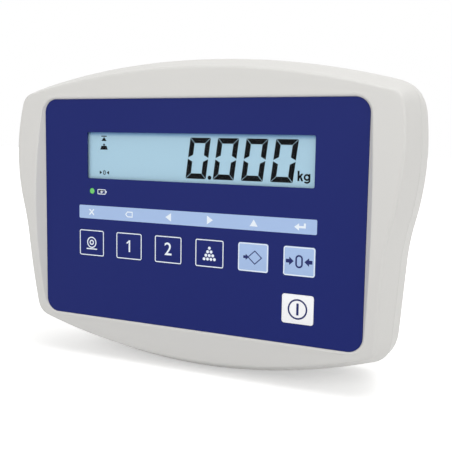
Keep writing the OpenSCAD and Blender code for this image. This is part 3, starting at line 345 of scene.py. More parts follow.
def first_loop(bm, points):
    """Ring of vertices on the points of a closed loop."""
    ring = bmesh.ops.create_circle(bm, segments=len(points), radius=1.0)["verts"]
    for vert, point in zip(ring, points):
        vert.co = point
    return ring


def ring_edges(ring):
    return [a.link_edges[[e.other_vert(a) for e in a.link_edges].index(b)]
            for a, b in zip(ring, ring[1:] + ring[:1])]


def next_loop(bm, ring, points):
    """Wall extruded from a ring to the points of the next loop."""
    made = bmesh.ops.extrude_edge_only(bm, edges=ring_edges(ring))["geom"]
    fresh = {item for item in made if isinstance(item, bmesh.types.BMVert)}
    grown = [next(e.other_vert(v) for e in v.link_edges if e.other_vert(v) in fresh) for v in ring]
    for vert, point in zip(grown, points):
        vert.co = point
    return grown


def skin(bm, loops):
    """Wall through a list of loops. Returns the first and the last ring."""
    start = ring = first_loop(bm, loops[0])
    for loop in loops[1:]:
        ring = next_loop(bm, ring, loop)
    return start, ring


def piece(name, bm, material, place=panel_face, crease=32.0):
    """Object from a bmesh drawn in millimetres on the panel, smooth but for its creases."""
    bm.transform(place)
    bmesh.ops.recalc_face_normals(bm, faces=bm.faces)
    mesh = bpy.data.meshes.new(name)
    bm.to_mesh(mesh)
    bm.free()
    mesh.materials.append(material)
    item = bpy.data.objects.new(name, mesh)
    scene.collection.objects.link(item)
    smooth(mesh, crease)
    return item


def smooth(mesh, crease):
    bm = bmesh.new()
    bm.from_mesh(mesh)
    for face in bm.faces:
        face.smooth = True
    for edge in bm.edges:
        edge.smooth = edge.calc_face_angle(math.pi) < math.radians(crease)
    bm.to_mesh(mesh)
    bm.free()


def carve(body, steps, crease=32.0):
    """Joins or cuts each solid in turn, as the mould's inserts do, and drops the solids."""
    for operation, solid in steps:
        step = body.modifiers.new(solid.name, "BOOLEAN")
        step.solver = "MANIFOLD"
        step.operation = operation
        step.object = solid
    bpy.context.view_layer.update()
    evaluated = body.evaluated_get(bpy.context.evaluated_depsgraph_get())
    finished = bpy.data.meshes.new_from_object(evaluated)
    body.modifiers.clear()
    body.data = finished
    for _, solid in steps:
        bpy.data.objects.remove(solid)
    smooth(finished, crease)


on_axis = 0.0001  # millimetres from a turning axis within which a vertex lies on it


def turned(bm, profile, x=0.0, y=0.0, steps=48):
    """Solid turned about the panel's depth: the profile runs in (radius, z) round the section."""
    verts = [bmesh.ops.create_vert(bm, co=(x + r, y, z))["vert"][0] for r, z in profile]
    closed = profile[0][0] > 0.0
    pairs = list(zip(verts, verts[1:])) + ([(verts[-1], verts[0])] if closed else [])
    edges = [bmesh.ops.contextual_create(bm, geom=list(pair))["edges"][0] for pair in pairs]
    bmesh.ops.spin(bm, geom=verts + edges, cent=(x, y, 0.0), axis=(0, 0, 1), dvec=(0, 0, 0),
                   angle=2 * math.pi, steps=steps, use_merge=True, use_duplicate=False)
    near = [v for v in bm.verts if abs(v.co.x - x) < on_axis and abs(v.co.y - y) < on_axis]
    bmesh.ops.remove_doubles(bm, verts=near, dist=2 * on_axis)


def block(bm, x, y, w, h, z_front, z_back):
    """Box between two depths behind the panel."""
    middle = Matrix.Translation((x, y, -(z_front + z_back) / 2))
    bmesh.ops.create_cube(bm, size=1.0, matrix=middle @ Matrix.Diagonal((w, h, z_back - z_front, 1)))


def rounded_loop(x, y, w, h, r, on_turn=8):
    """Rectangle with round corners, clockwise from its top right corner."""
    points = []
    for sx, sy, start in ((1, 1, 90), (1, -1, 0), (-1, -1, -90), (-1, 1, -180)):
        for i in range(on_turn + 1):
            t = math.radians(start - 90 * i / on_turn)
            points.append((x + sx * (w / 2 - r) + r * math.cos(t),
                           y + sy * (h / 2 - r) + r * math.sin(t)))
    return points


def capped(bm, loops):
    """Closed solid through a list of loops."""
    start, end = skin(bm, loops)
    bmesh.ops.contextual_create(bm, geom=ring_edges(start))
    bmesh.ops.contextual_create(bm, geom=ring_edges(end))


def solid(name, draw):
    """Separate solid that joins or cuts another, drawn by a function."""
    bm = bmesh.new()
    draw(bm)
    return piece(name, bm, case_plastic)


window_x, window_y, window_w, window_h = 1.6, 35.8, 160.0, 30.4
opening_w, opening_h = window_w + 6.2, window_h + 6.2


def window_loop(loop, z):
    """Window opening, with a point on the line from its centre to each point of a loop."""
    points = []
    for x, y in loop:
        dx, dy = x - window_x, y - window_y
        reach = min(opening_w / 2 / max(abs(dx), 0.001), opening_h / 2 / max(abs(dy), 0.001))
        points.append((window_x + dx * reach, window_y + dy * reach, z))
    return points


def bowed(lower, upper, share):
    """Loop part of the way from one to another, swelled a little on the case's sides."""
    swell = side_bow * math.sin(math.pi * share)
    points = []
    for a, b in zip(lower, upper):
        side = (1 if a[0] > 0 else -1) * (abs(a[0]) > side_from)
        points.append((mix(a[0], b[0], share) + swell * side, mix(a[1], b[1], share),
                       mix(a[2], b[2], share)))
    return points


# The wall runs up the outside from the seam, over the face, down the rim and back inside.
front = bmesh.new()
edge_turns = [math.radians(15 * i) for i in range(7)]
face_edge, pocket = crowned(case_loop(-edge_soft), 0.0), panel_loop(pocket_gap)
rim_top = rim_loop(0.9, 0.0)
seam_corners, lip = (top_corner + flare, base_corner + flare), 0.3
seam_loop = flat_at(case_loop(flare, *seam_corners), -seam + lip)
wall_top = crowned(case_loop(0.0), edge_soft)
front_loops = [flat_at(case_loop(flare - 0.35, *seam_corners), -seam),
               flat_at(case_loop(flare - 0.02, *seam_corners), -seam + lip)]
front_loops += [bowed(seam_loop, wall_top, share) for share in (0.25, 0.5, 0.75)]
front_loops += [crowned(case_loop(-edge_soft * (1 - math.cos(t))), edge_soft * (1 - math.sin(t)))
                for t in edge_turns]
front_loops += [[(mix(a[0], b[0], s), mix(a[1], b[1], s), crown(mix(a[1], b[1], s)))
                 for a, b in zip(face_edge, rim_top)] for s in (0.2, 0.5, 0.8)]
front_loops += [rim_top, rim_loop(0.45, 0.04), rim_loop(0.15, 0.16), rim_loop(0.0, 0.4),
                rim_loop(0.0, 0.55), flat_at(pocket, 0.0), flat_at(pocket, -film),
                window_loop(pocket, -film), window_loop(pocket, -plate_back),
                flat_at(panel_loop(pocket_gap + 1.0), -plate_back)]
front_loops += [[(x, y, min(z, crown(y)) - wall) for x, y, z in rim_loop(3.0, 0.0)],
                crowned(case_loop(-wall - 0.5), edge_soft + wall),
                flat_at(case_loop(flare - wall, *[reach - wall for reach in seam_corners]), -seam)]
front_start, front_end = skin(front, front_loops)
bmesh.ops.bridge_loops(front, edges=ring_edges(front_start) + ring_edges(front_end))
front_case = piece("front_case", front, case_plastic)

key_w, key_h, key_gap, stem_hole, lamp_hole = 20.0, 17.6, 0.15, 2.8, 2.1
key_names = ("print", "function", "units", "count", "tare", "zero", "power")
row_x, row_y, key_pitch, power_place = -0.8, -22.7, 29.7, (73.2, -51.3)
key_places = [(row_x + (i - 2.5) * key_pitch, row_y) for i in range(6)] + [power_place]
lamp_x, lamp_y = -74.7, 12.175


def key_pockets(bm):
    for x, y in key_places:
        block(bm, x, y, key_w + 2 * key_gap, key_h + 2 * key_gap, film - 0.5, film + 0.6)


def stem_holes(bm):
    for (x, y), radius in zip(key_places + [(lamp_x, lamp_y)], [stem_hole] * 7 + [lamp_hole]):
        turned(bm, [(0, 0.4), (radius, 0.4), (radius, -plate_back - 1), (0, -plate_back - 1)], x, y, 32)


carve(front_case, [("DIFFERENCE", solid("key_pockets", key_pockets)),
                   ("DIFFERENCE", solid("stem_holes", stem_holes))])

case_screw_places = [(s * x, y) for s in (-1, 1) for x, y in ((99, 57), (104, 2), (95, -61))]
switch_post_places = [(s * 83, y) for s in (-1, 1) for y in (5, -56)]
lcd_post_places = [(window_x + sx * 88.5, window_y + sy * 17) for sx in (-1, 1) for sy in (-1, 1)]
in_plate, post_steps = -2.1, 32
posts = bmesh.new()
for x, y in case_screw_places:
    turned(posts, [(1.55, -8), (1.55, 0.4 - seam), (1.9, -seam), (3.7, -seam), (4, 0.3 - seam),
                   (4, in_plate), (0.6, in_plate), (0.6, -8)], x, y, post_steps)
for places, end in ((switch_post_places, -9.0), (lcd_post_places, -9.6)):
    for x, y in places:
        turned(posts, [(1.25, -4.5), (1.25, end), (2.8, end), (3, end + 0.2), (3, in_plate),
                       (0.5, in_plate), (0.5, -4.5)], x, y, post_steps)
posts.transform(panel_face)
bmesh.ops.recalc_face_normals(posts, faces=posts.faces)
posts.from_mesh(front_case.data)
posts.to_mesh(front_case.data)
posts.free()
smooth(front_case.data, 32.0)
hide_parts("front_shell")
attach(front_case, "case")


# Rear case: the deeper moulding behind the seam. Its rim stands out past the front case, then it
# draws in to a waist and a flat back with the connector bay, the battery opening and screw wells.
outer_stations = [  # let out, depth, reach of the corners, share of the flat base
    (4.45, 16.0, 4.4, 0.0), (5.4, 24.0, 10.0, 0.0), (5.4, 27.0, 10.0, 0.0), (3.0, 30.5, 10.0, 0.0),
    (-1.5, 33.5, 10.0, 0.35), (-4.5, 44.0, 11.0, 0.75), (-9.0, 60.0, 22.0, 1.0),
    (-10.5, 66.0, 22.0, 1.0), (-12.8, 69.0, 22.0, 1.0), (-16.0, 70.0, 22.0, 1.0)]
back, back_in, rear_seam, flat_base, base_turn = 70.0, 67.4, 15.4, 97.0, -9.0


def rear_loop(out, depth, reach, flat, inset=0.0):
    base = flat_base - inset - max(0.0, base_turn - out)
    return flat_at(case_loop(out - inset, top_corner + reach, base_corner + reach, flat, base), -depth)


def eased(rows, parts):
    """Rows with more between them, on a smooth curve through them."""
    full = []
    for i in range(len(rows) - 1):
        a, b, c, d = (rows[max(i - 1, 0)], rows[i], rows[i + 1], rows[min(i + 2, len(rows) - 1)])
        for k in range(parts):
            t = k / parts
            full.append(tuple(
                q + 0.5 * t * (r - p + t * (2 * p - 5 * q + 4 * r - s + t * (3 * (q - r) + s - p)))
                for p, q, r, s in zip(a, b, c, d)))
    return full + [rows[-1]]


rear = bmesh.new()
inner_stations = [
    (-16.0, back_in, 22.0, 1.0), (-12.8, 66.4, 22.0, 1.0), (-10.5, 64.7, 22.0, 1.0),
    (-9.0, 58.7, 22.0, 1.0), (-4.5, 42.7, 11.0, 0.75), (-1.5, 32.2, 10.0, 0.35),
    (3.0, 27.9, 10.0, 0.0), (5.4, 24.0, 10.0, 0.0), (4.4, rear_seam, 4.4, 0.0)]
groove = [(2.05, rear_seam), (2.05, rear_seam + 1.2), (0.55, rear_seam + 1.2), (0.55, rear_seam),
          (0.35, rear_seam), (0.0, rear_seam + 0.35)]
rear_loops = [rear_loop(*row, inset=wall) for row in inner_stations]
rear_loops += [rear_loop(4.4, depth, 4.4, 0.0, inset) for inset, depth in groove]
rear_loops += [rear_loop(*row) for row in eased(outer_stations, 4)]
capped(rear, rear_loops)
rear_case = piece("rear_case", rear, case_plastic)

bay_x, bay_low, bay_high, bay_floor = 76.0, 29.0, 61.0, 60.0
bay_mid = (bay_low + bay_high) / 2
cell_w, cell_low, cell_high, cell_front = 71.0, -87.0, 22.5, 19.4
cell_mid, cell_h = (cell_low + cell_high) / 2, cell_high - cell_low
door_w, door_h, door_y = 86.0, 111.0, -32.25
cover_screw_places = [(sx * 39.3, door_y + sy * 49.5) for sx in (-1, 1) for sy in (-1, 1)]
insert_places = [(sx * 70, -22 + sy * 30) for sx in (-1, 1) for sy in (-1, 1)]
main_post_places = [(x, y) for x in (-74, 30) for y in (34, 56)]
foot_places = [(s * x, z) for s in (-1, 1) for x, z in ((22, 35), (60, 59))]
jack_x, serial_x, gland_x = -60.0, -16.0, 56.0
standoff_places = [(serial_x + s * 12.5, bay_mid) for s in (-1, 1)]
skin_back = back - wall / 2


def hole(radius, mouth, deep, chamfer=0.0, over=1.2):
    """Profile of a round hole that opens to the back, with a chamfered mouth."""
    return [(0, -deep), (radius, -deep), (radius, -mouth + chamfer), (radius + chamfer, -mouth),
            (radius + chamfer, -mouth - over), (0, -mouth - over)]


def rod(radius, near, far):
    return [(0, -near), (radius, -near), (radius, -far), (0, -far)]


def flared_slab(bm, x, y, w, h, r, depth):
    """Rectangular recess that opens to the back, with a small chamfer round its mouth."""
    chamfer, over = 0.4, 1.2
    inner = rounded_loop(x, y, w, h, r)
    outer = rounded_loop(x, y, w + 2 * chamfer, h + 2 * chamfer, r + chamfer)
    capped(bm, [flat_at(inner, -depth), flat_at(inner, -back + chamfer), flat_at(outer, -back),
                flat_at(outer, -back - over)])


def serial_loop(grow):
    """Outline of the serial port's shell, wider above than below, with round corners."""
    above, below, half = 9.6 + grow, 8.45 + grow, 5.35 + grow
    corners = [Vector(c) for c in ((-above, half), (above, half), (below, -half), (-below, -half))]
    points, r = [], 1.6
    for i, at in enumerate(corners):
        before, after = corners[i - 1], corners[(i + 1) % 4]
        a, b = at + (before - at).normalized() * r, at + (after - at).normalized() * r
        points += [tuple(a.lerp(at, k / 4).lerp(at.lerp(b, k / 4), k / 4)) for k in range(5)]
    return [(serial_x + x, bay_mid + y) for x, y in points]


def each_turned(places, profile, steps=32):
    return lambda bm: [turned(bm, profile, x, y, steps) for x, y in places]


def foot_solids(radius, low, high):
    """Upright round solids under the base, at the feet."""
    def draw(bm):
        for x, z in foot_places:
            place = Matrix.Translation((x, (low + high) / 2, -z)) @ Matrix.Rotation(math.pi / 2, 4, "X")
            bmesh.ops.create_cone(bm, cap_ends=True, segments=48, radius1=radius, radius2=radius,
                                  depth=high - low, matrix=place)
    return draw


def vents(bm):
    for i in range(5):
        block(bm, (i - 2) * 5.0, y=82.0, w=2.0, h=21.0, z_front=44.0, z_back=60.0)


def bay_box(bm):
    outline = rounded_loop(0, bay_mid, 157.2, 37.2, 5.6)
    capped(bm, [flat_at(outline, -57.4), flat_at(outline, -skin_back)])


floor_hole = (56.4, 61.0)  # a cut through the floor of the bay
joined = [
    ("bay_box", bay_box),
    ("cell_box", lambda bm: block(bm, 0, cell_mid, cell_w + 4, cell_h + 4, cell_front - 2, skin_back)),
    ("wells", each_turned(case_screw_places, rod(4.8, rear_seam, skin_back))),
    ("insert_bosses", each_turned(insert_places, rod(5.2, 59.4, skin_back))),
    ("main_posts", each_turned(main_post_places, rod(3.0, 51.6, 58.7))),
    ("foot_pads", foot_solids(6.6, -99.5, -91.8)),
    ("door_ledge", lambda bm: block(bm, 0, door_y, door_w + 6, door_h + 6, 65.4, skin_back)),
    ("cover_bosses", each_turned(cover_screw_places, rod(3.2, 59.4, skin_back)))]
cut = [
    ("bay", lambda bm: flared_slab(bm, 0, bay_mid, 2 * bay_x, bay_high - bay_low, 3.0, bay_floor)),
    ("cell", lambda bm: block(bm, 0, cell_mid, cell_w, cell_h, cell_front, back + 1)),
    ("lead_notch", lambda bm: block(bm, -14, 23.5, w=14, h=4, z_front=27.4, z_back=35.4)),
    ("door_seat", lambda bm: flared_slab(bm, 0, door_y, door_w + 0.6, door_h + 0.6, 3.0, back - 2.1)),
    ("well_bores", each_turned(case_screw_places, hole(3.2, back, 26.0, 0.4))),
    ("screw_bores", each_turned(case_screw_places, rod(1.8, 14.4, 27.0))),
    ("insert_bores", each_turned(insert_places, hole(3.05, back, 62.0))),
    ("main_bores", each_turned(main_post_places, rod(1.25, 50.6, 55.6))),
    ("cover_bores", each_turned(cover_screw_places, rod(1.55, 62.0, 69.0))),
    ("jack_hole", each_turned([(jack_x, bay_mid)], rod(4.6, *floor_hole))),
    ("gland_hole", each_turned([(gland_x, bay_mid)], rod(6.3, *floor_hole))),
    ("standoff_holes", each_turned(standoff_places, rod(1.55, *floor_hole))),
    ("serial_hole", lambda bm: capped(bm, [flat_at(serial_loop(0.1), -z) for z in floor_hole])),
    ("foot_seats", foot_solids(5.1, -100.5, -98.9)),
    ("vents", vents)]
carve(rear_case, [("UNION", solid(name, draw)) for name, draw in joined]
      + [("DIFFERENCE", solid(name, draw)) for name, draw in cut])
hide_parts("rear_shell")
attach(rear_case, "case")


# Seam: a black rubber cord in the rear case's groove, which the front case presses on, and six
# zinc plated screws that pull the two cases together from the bottom of their wells.
def metal_group():
    """Worked metal: fine drawn or rolled marks that change its gloss a little."""
    group = bpy.data.node_groups.new("metal_marks", "ShaderNodeTree")
    add_sockets(group, "INPUT", "NodeSocketFloat", "Mark Scale", "Roughness", "Gloss Change")
    add_sockets(group, "OUTPUT", "NodeSocketFloat", "Roughness", "Height")
    nodes, links = group.nodes, group.links
    given, result = nodes.new("NodeGroupInput"), nodes.new("NodeGroupOutput")
    place, stretch = new_node(nodes, "TexCoord"), new_node(nodes, "Mapping", Scale=(0.15, 1.0, 1.0))
    marks = new_node(nodes, "TexNoise", Detail=5.0)
    links.new(place.outputs["Object"], stretch.inputs["Vector"])
    links.new(stretch.outputs["Vector"], marks.inputs["Vector"])
    links.new(given.outputs["Mark Scale"], marks.inputs["Scale"])
    gloss = math_node(nodes, "MULTIPLY_ADD")
    links.new(marks.outputs["Fac"], gloss.inputs[0])
    links.new(given.outputs["Gloss Change"], gloss.inputs[1])
    links.new(given.outputs["Roughness"], gloss.inputs[2])
    links.new(gloss.outputs[0], result.inputs["Roughness"])
    links.new(marks.outputs["Fac"], result.inputs["Height"])
    return group


metal_marks = metal_group()


def metal(name, colour, roughness=0.25, marks=900.0, gloss_change=0.2, relief=0.15, depth=0.00002):
    material, nodes, links, shader = new_material(name)
    set_inputs(shader, Base_Color=colour, Metallic=1.0)
    surface = new_node(nodes, "Group")
    surface.node_tree = metal_marks
    set_inputs(surface, Mark_Scale=marks, Roughness=roughness, Gloss_Change=gloss_change)
    links.new(surface.outputs["Roughness"], shader.inputs["Roughness"])
    add_relief(nodes, links, surface.outputs["Height"], relief, depth)
    return material


def dress(material, *nodes):
    """Gives CAD pieces whose shape is already right their finish."""
    for name in nodes:
        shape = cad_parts[name].data
        shape.materials.clear()
        shape.materials.append(material)


def softened(name, node, body, material, edge, segments=2, sharp=40.0, weld=0.000002, flat=1.0):
    """Copy of a CAD piece with its sharp edges broken by a small radius, in millimetres."""
    bm = bmesh.new()
    bm.from_mesh(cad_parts[node].data)
    bmesh.ops.remove_doubles(bm, verts=bm.verts, dist=weld)
    bmesh.ops.dissolve_limit(bm, angle_limit=math.radians(flat), verts=bm.verts, edges=bm.edges)
    edges = [e for e in bm.edges if e.calc_face_angle(0.0) > math.radians(sharp)]
    bmesh.ops.bevel(bm, geom=edges, offset=edge * mm, offset_type="OFFSET", segments=segments,
                    profile=0.5, affect="EDGES", clamp_overlap=True, material=-1)
    bmesh.ops.triangulate(bm, faces=[f for f in bm.faces if len(f.verts) > 4])
    item = piece(name, bm, material, Matrix.Identity(4))
    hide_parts(node)
    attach(item, body)
    return item


black_rubber = moulded("black_rubber", linear(38, 38, 40), roughness=0.75, grain=900.0, relief=0.3,
                       depth=0.00005)
zinc_steel = metal("zinc_steel", linear(206, 207, 210))
dress(black_rubber, "case_seal")
softened("case_screw_set", "case_screws", "case", zinc_steel, 0.15)


# Panel: the polyester film with the blue back print, stuck in the pocket of the front case. Its
# light print is a bar with a second sign for each key of the row, and the lamp's sign.
film_finish = {"roughness": 0.42, "grain": 2600.0, "relief": 0.12, "Specular_IOR_Level": 0.12}
ink_finish = {"roughness": 0.45, "grain": 2600.0, "relief": 0.05, "Specular_IOR_Level": 0.12}
film_blue = moulded("film_blue", linear(24, 36, 108), tone=9.0, **film_finish)
ink_white = moulded("ink_white", linear(238, 246, 255), shade=1.0, **ink_finish)
ink_light = moulded("ink_light", linear(172, 197, 236), shade=0.97, **ink_finish)
ink_blue = moulded("ink_blue", linear(38, 46, 104), **ink_finish)
dress(film_blue, "keypad_overlay")


def printed(name, body, slot, ink, z, loops=(), words=(), bold=0.0, thickness=0.04):
    """Thin layer of ink: closed loops, with holes where they nest, and words as (text, x, y, size)."""
    outline = bpy.data.curves.new(name, "CURVE")
    outline.dimensions = "2D"
    outline.fill_mode = "BOTH"
    outline.extrude = thickness / 2
    for loop in loops:
        line = outline.splines.new("POLY")
        line.points.add(len(loop) - 1)
        for point, (x, y) in zip(line.points, loop):
            point.co = (x, y, 0.0, 1.0)
        line.use_cyclic_u = True
    shapes = [(outline, Matrix.Identity(4))]
    for text, x, y, size in words:
        word = bpy.data.curves.new(name, "FONT")
        word.body = text
        word.size = size
        word.align_x, word.align_y = "CENTER", "CENTER"
        word.extrude = thickness / 2
        word.offset = bold
        shapes.append((word, Matrix.Translation((x, y, 0.0))))
    bm = bmesh.new()
    for data, place in shapes:
        holder = bpy.data.objects.new(name, data)
        scene.collection.objects.link(holder)
        bpy.context.view_layer.update()
        evaluated = holder.evaluated_get(bpy.context.evaluated_depsgraph_get())
        flat = bpy.data.meshes.new_from_object(evaluated)
        flat.transform(place)
        bm.from_mesh(flat)
        bpy.data.objects.remove(holder)
    bmesh.ops.remove_doubles(bm, verts=bm.verts, dist=0.001)
    item = piece(name, bm, ink, panel_face @ Matrix.Translation((0, 0, z + thickness / 2)))
    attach(item, body)
    return item


def circle_loop(x, y, r, count=40):
    return [(x + r * math.cos(2 * math.pi * i / count), y + r * math.sin(2 * math.pi * i / count))
            for i in range(count)]


def ring_loops(x, y, r, stroke):
    return [circle_loop(x, y, r + stroke / 2), circle_loop(x, y, r - stroke / 2)]


def frame_loops(x, y, w, h, r, stroke):
    inner = rounded_loop(x, y, w - 2 * stroke, h - 2 * stroke, max(r - stroke, 0.2))
    return [rounded_loop(x, y, w, h, r), inner]


def placed(points, x, y, turn=0.0, scale=1.0):
    c, s = math.cos(math.radians(turn)) * scale, math.sin(math.radians(turn)) * scale
    return [(x + px * c - py * s, y + px * s + py * c) for px, py in points]


def bar_loop(x, y, w, h, turn=0.0):
    return placed([(-w / 2, -h / 2), (w / 2, -h / 2), (w / 2, h / 2), (-w / 2, h / 2)], x, y, turn)


arrow_head = [(-2.0, -2.7), (2.2, 0.0), (-2.0, 2.7)]
block_arrow = [(-2.4, -1.1), (-0.3, -1.1), (-0.3, -2.5), (2.5, 0.0), (-0.3, 2.5), (-0.3, 1.1), (-2.4, 1.1)]
bar_x, bar_y, bar_w, bar_h = -0.6, -1.9, 169.0, 8.86
printed("sign_bar", "case", "panel_film", ink_light, 0.0, [rounded_loop(bar_x, bar_y, bar_w, bar_h, 0.8)])
cross = [bar_loop(key_places[0][0], bar_y, 5.2, 0.9, turn) for turn in (45, -45)]
clear_x = key_places[1][0]
back_tag = [placed([(-3.0, 0.0), (-1.4, 1.9), (2.8, 1.9), (2.8, -1.9), (-1.4, -1.9)], clear_x, bar_y),
            placed([(-2.1, 0.0), (-1.1, 1.25), (2.15, 1.25), (2.15, -1.25), (-1.1, -1.25)], clear_x, bar_y)]
enter_x = key_places[5][0]
enter = [placed([(-3.7, -0.4), (-0.6, 1.75), (-0.6, 0.25), (2.3, 0.25), (2.3, 1.9), (3.6, 1.9),
                 (3.6, -1.05), (-0.6, -1.05), (-0.6, -2.55)], enter_x, bar_y)]
bar_signs = [placed(arrow_head, key_places[2][0], bar_y, 180), placed(arrow_head, key_places[3][0], bar_y),
             placed(arrow_head, key_places[4][0], bar_y, 90), cross[0]] + back_tag + enter
printed("bar_signs", "case", "key_white", ink_white, 0.04, bar_signs)
printed("cross_sign", "case", "key_white", ink_white, 0.045, [cross[1]])
charge_x, charge_y = -67.0, 11.9
flash = [(0.7, 1.3), (-1.5, -0.3), (-0.1, -0.3), (-0.7, -1.4), (1.5, 0.3), (0.1, 0.3)]
lamp_sign = frame_loops(charge_x, charge_y, 6.4, 3.4, 0.6, 0.5)
lamp_sign += [bar_loop(charge_x + 3.7, charge_y, 0.6, 1.4), placed(flash, charge_x, charge_y)]
printed("lamp_sign", "case", "key_white", ink_white, 0.0, lamp_sign)


# Keys: seven snap keys that stand just proud of the film, each with the print of its own sign.
# Four are blue with a white frame, two light blue with a white frame, and the power key is white.
film_light = moulded("film_light", linear(172, 197, 236), shade=0.97, **film_finish)
film_white = moulded("film_white", linear(252, 253, 255), shade=0.98, **film_finish)
key_top, frame_inset, frame_corner, frame_stroke = 0.15, 0.4, 1.3, 0.62
key_films = [film_blue] * 4 + [film_light] * 2 + [film_white]
key_slots = ["panel_film"] * 4 + ["key_light"] * 2 + ["key_white"]
for key, material, slot_name in zip(key_names, key_films, key_slots):
    softened("key_%s_top" % key, "key_" + key, "key_" + key, material, 0.1)
for i, key in enumerate(key_names[:6]):
    x, y = key_places[i]
    printed("frame_" + key, "key_" + key, "key_white", ink_white, key_top,
            frame_loops(x, y, key_w - frame_inset, key_h - frame_inset, frame_corner, frame_stroke))


def key_sign(name, key, loops=(), ink=ink_white, slot="key_white", lift=0.0, **words):
    """Print of a key's sign, or of one part of it, on top of the key."""
    printed(name, "key_" + key, slot, ink, key_top + lift, loops, **words)


dark_print = {"ink": ink_blue, "slot": "panel_film"}
x, y = key_places[0]
key_sign("sign_print", "print", ring_loops(x, y + 0.3, 3.4, 0.75) + ring_loops(x, y + 0.3, 1.35, 0.8)
         + [bar_loop(x, y - 4.1, 8.6, 0.75)])
x, y = key_places[1]
figure_one = [(-2.3, 2.3), (0.1, 4.4), (1.1, 4.4), (1.1, -4.4), (-0.2, -4.4), (-0.2, 2.8), (-1.6, 1.6)]
key_sign("sign_function", "function", [placed(figure_one, x, y, 0, 0.88)])
x, y = key_places[2]
key_sign("sign_units", "units", words=[("2", x, y, 11.6)], bold=0.08)
x, y = key_places[3]
dot_r, dot_step, row_step = 0.98, 2.4, 2.3
key_sign("sign_count", "count", [
    circle_loop(x + (k - row / 2) * dot_step, y + 3.3 - row * row_step, dot_r, 20)
    for row in range(4) for k in range(row + 1)])
x, y = key_places[4]
diamond = [(-4.9, 0), (0, 4.4), (4.9, 0), (0, -4.4)]
key_sign("sign_tare", "tare", [placed(diamond, x + 1.2, y, 0, size) for size in (1.0, 0.82)], **dark_print)
key_sign("arrow_tare", "tare", [placed(block_arrow, x - 4.6, y, 0, 0.75)], lift=0.005, **dark_print)
x, y = key_places[5]
zero = [rounded_loop(x, y, 4.7, 7.8, 2.3), rounded_loop(x, y, 2.7, 5.8, 1.3)]
key_sign("sign_zero", "zero", zero + [placed(block_arrow, x - 5.9, y), placed(block_arrow, x + 5.9, y, 180)],
         **dark_print)
x, y = key_places[6]
power_mark = ring_loops(x, y, 5.7, 1.0) + [rounded_loop(x, y, 1.5, 7.2, 0.3, 3)]
key_sign("sign_power", "power", power_mark, **dark_print)

black_plastic = moulded("black_plastic", linear(40, 40, 43), roughness=0.45, grain=1800.0, relief=0.2)
dress(black_plastic, "switch_bodies", *["plunger_" + key for key in key_names])


# Display: a reflective glass cell behind a clear window in the panel. Its figures are dark
# segments, with small marks at the left for the state of the reading and the unit at the right.
window_clear = moulded("window_clear", linear(60, 68, 78), roughness=0.14, grain=300.0, relief=0.0,
                       gloss_change=0.04, Alpha=0.03, Specular_IOR_Level=0.3)
glass_cell = moulded("glass_cell", linear(183, 220, 240), roughness=0.3, grain=700.0, relief=0.0,
                     shade=0.985, tone=8.0, gloss_change=0.05, Specular_IOR_Level=0.15)
segment_black = moulded("segment_black", linear(8, 9, 10), roughness=0.5, grain=900.0, relief=0.0,
                        Specular_IOR_Level=0.04)
white_plastic = moulded("white_plastic", linear(228, 228, 224), roughness=0.55, relief=0.1)
dress(window_clear, "display_window")
cell_nodes, cell_links = glass_cell.node_tree.nodes, glass_cell.node_tree.links
cell_place, cell_axes = new_node(cell_nodes, "TexCoord"), new_node(cell_nodes, "SeparateXYZ")
# The glass turns a darker blue over its top 3.2 mm. This is painted shade, standing for the shadow of the
# panel's edge over the sunken cell.
glass_top, shadow_run = panel_mid + (window_y + window_h / 2) * mm, 3.2 * mm
top_shade_fade = new_node(cell_nodes, "MapRange", From_Min=glass_top - shadow_run, From_Max=glass_top)
top_shade_fade.interpolation_type = "SMOOTHSTEP"
painted_top_shade = new_node(cell_nodes, "Mix")
painted_top_shade.data_type = "RGBA"
set_inputs(painted_top_shade, B=linear(112, 158, 204))
cell_surface = next(node for node in cell_nodes if node.type == "GROUP")
cell_links.new(cell_place.outputs["Object"], cell_axes.inputs[0])
cell_links.new(cell_axes.outputs["Z"], top_shade_fade.inputs["Value"])
cell_links.new(top_shade_fade.outputs["Result"], painted_top_shade.inputs["Factor"])
cell_links.new(cell_surface.outputs["Colour"], painted_top_shade.inputs["A"])
cell_links.new(painted_top_shade.outputs["Result"], cell_nodes["Principled BSDF"].inputs["Base Color"])
dress(glass_cell, "lcd_glass")
dress(segment_black, "lcd_digits")
dress(white_plastic, "lcd_backlight", "lcd_frame")
weight_x, weight_y, zero_x, zero_y, unit_y = -66.4, 41.2, -66.2, 24.6, 26.6
display_marks = [placed([(-2.0, 4.2), (2.0, 4.2), (0.0, 6.8)], weight_x, weight_y),
                 bar_loop(weight_x, weight_y + 7.3, 4.2, 0.6)]
display_marks += [[(weight_x - 3.0, weight_y - 1.5), (weight_x + 3.0, weight_y - 1.5),
                   (weight_x + 2.0, weight_y + 1.0), (weight_x - 2.0, weight_y + 1.0)],
                  circle_loop(weight_x, weight_y + 1.75, 0.7, 16)]
display_marks += [rounded_loop(zero_x, zero_y, 1.9, 3.0, 0.9, 4),
                  rounded_loop(zero_x, zero_y, 0.9, 2.0, 0.4, 4),
                  placed(arrow_head, zero_x - 2.8, zero_y, 0, 0.45),
                  placed(arrow_head, zero_x + 2.8, zero_y, 180, 0.45)]
letter_k = [(-1.65, -2.35), (-0.45, -2.35), (-0.45, -0.8), (-0.1, -0.4), (0.65, -2.35), (2.0, -2.35),
            (0.7, 0.45), (1.95, 2.1), (0.55, 2.1), (-0.45, 0.75), (-0.45, 3.7), (-1.65, 3.7)]
bowl_turns = [math.radians(-53 - 254 * i / 20) for i in range(21)]
tail_turns = [math.radians(-15 * i) for i in range(11)]
tail_y, outer_w, outer_h, inner_w, inner_h = -1.9, 2.1, 1.7, 1.05, 0.7
letter_g = [(1.1, 2.1), (2.1, 2.1)]
letter_g += [(outer_w * math.cos(t), tail_y + outer_h * math.sin(t)) for t in tail_turns]
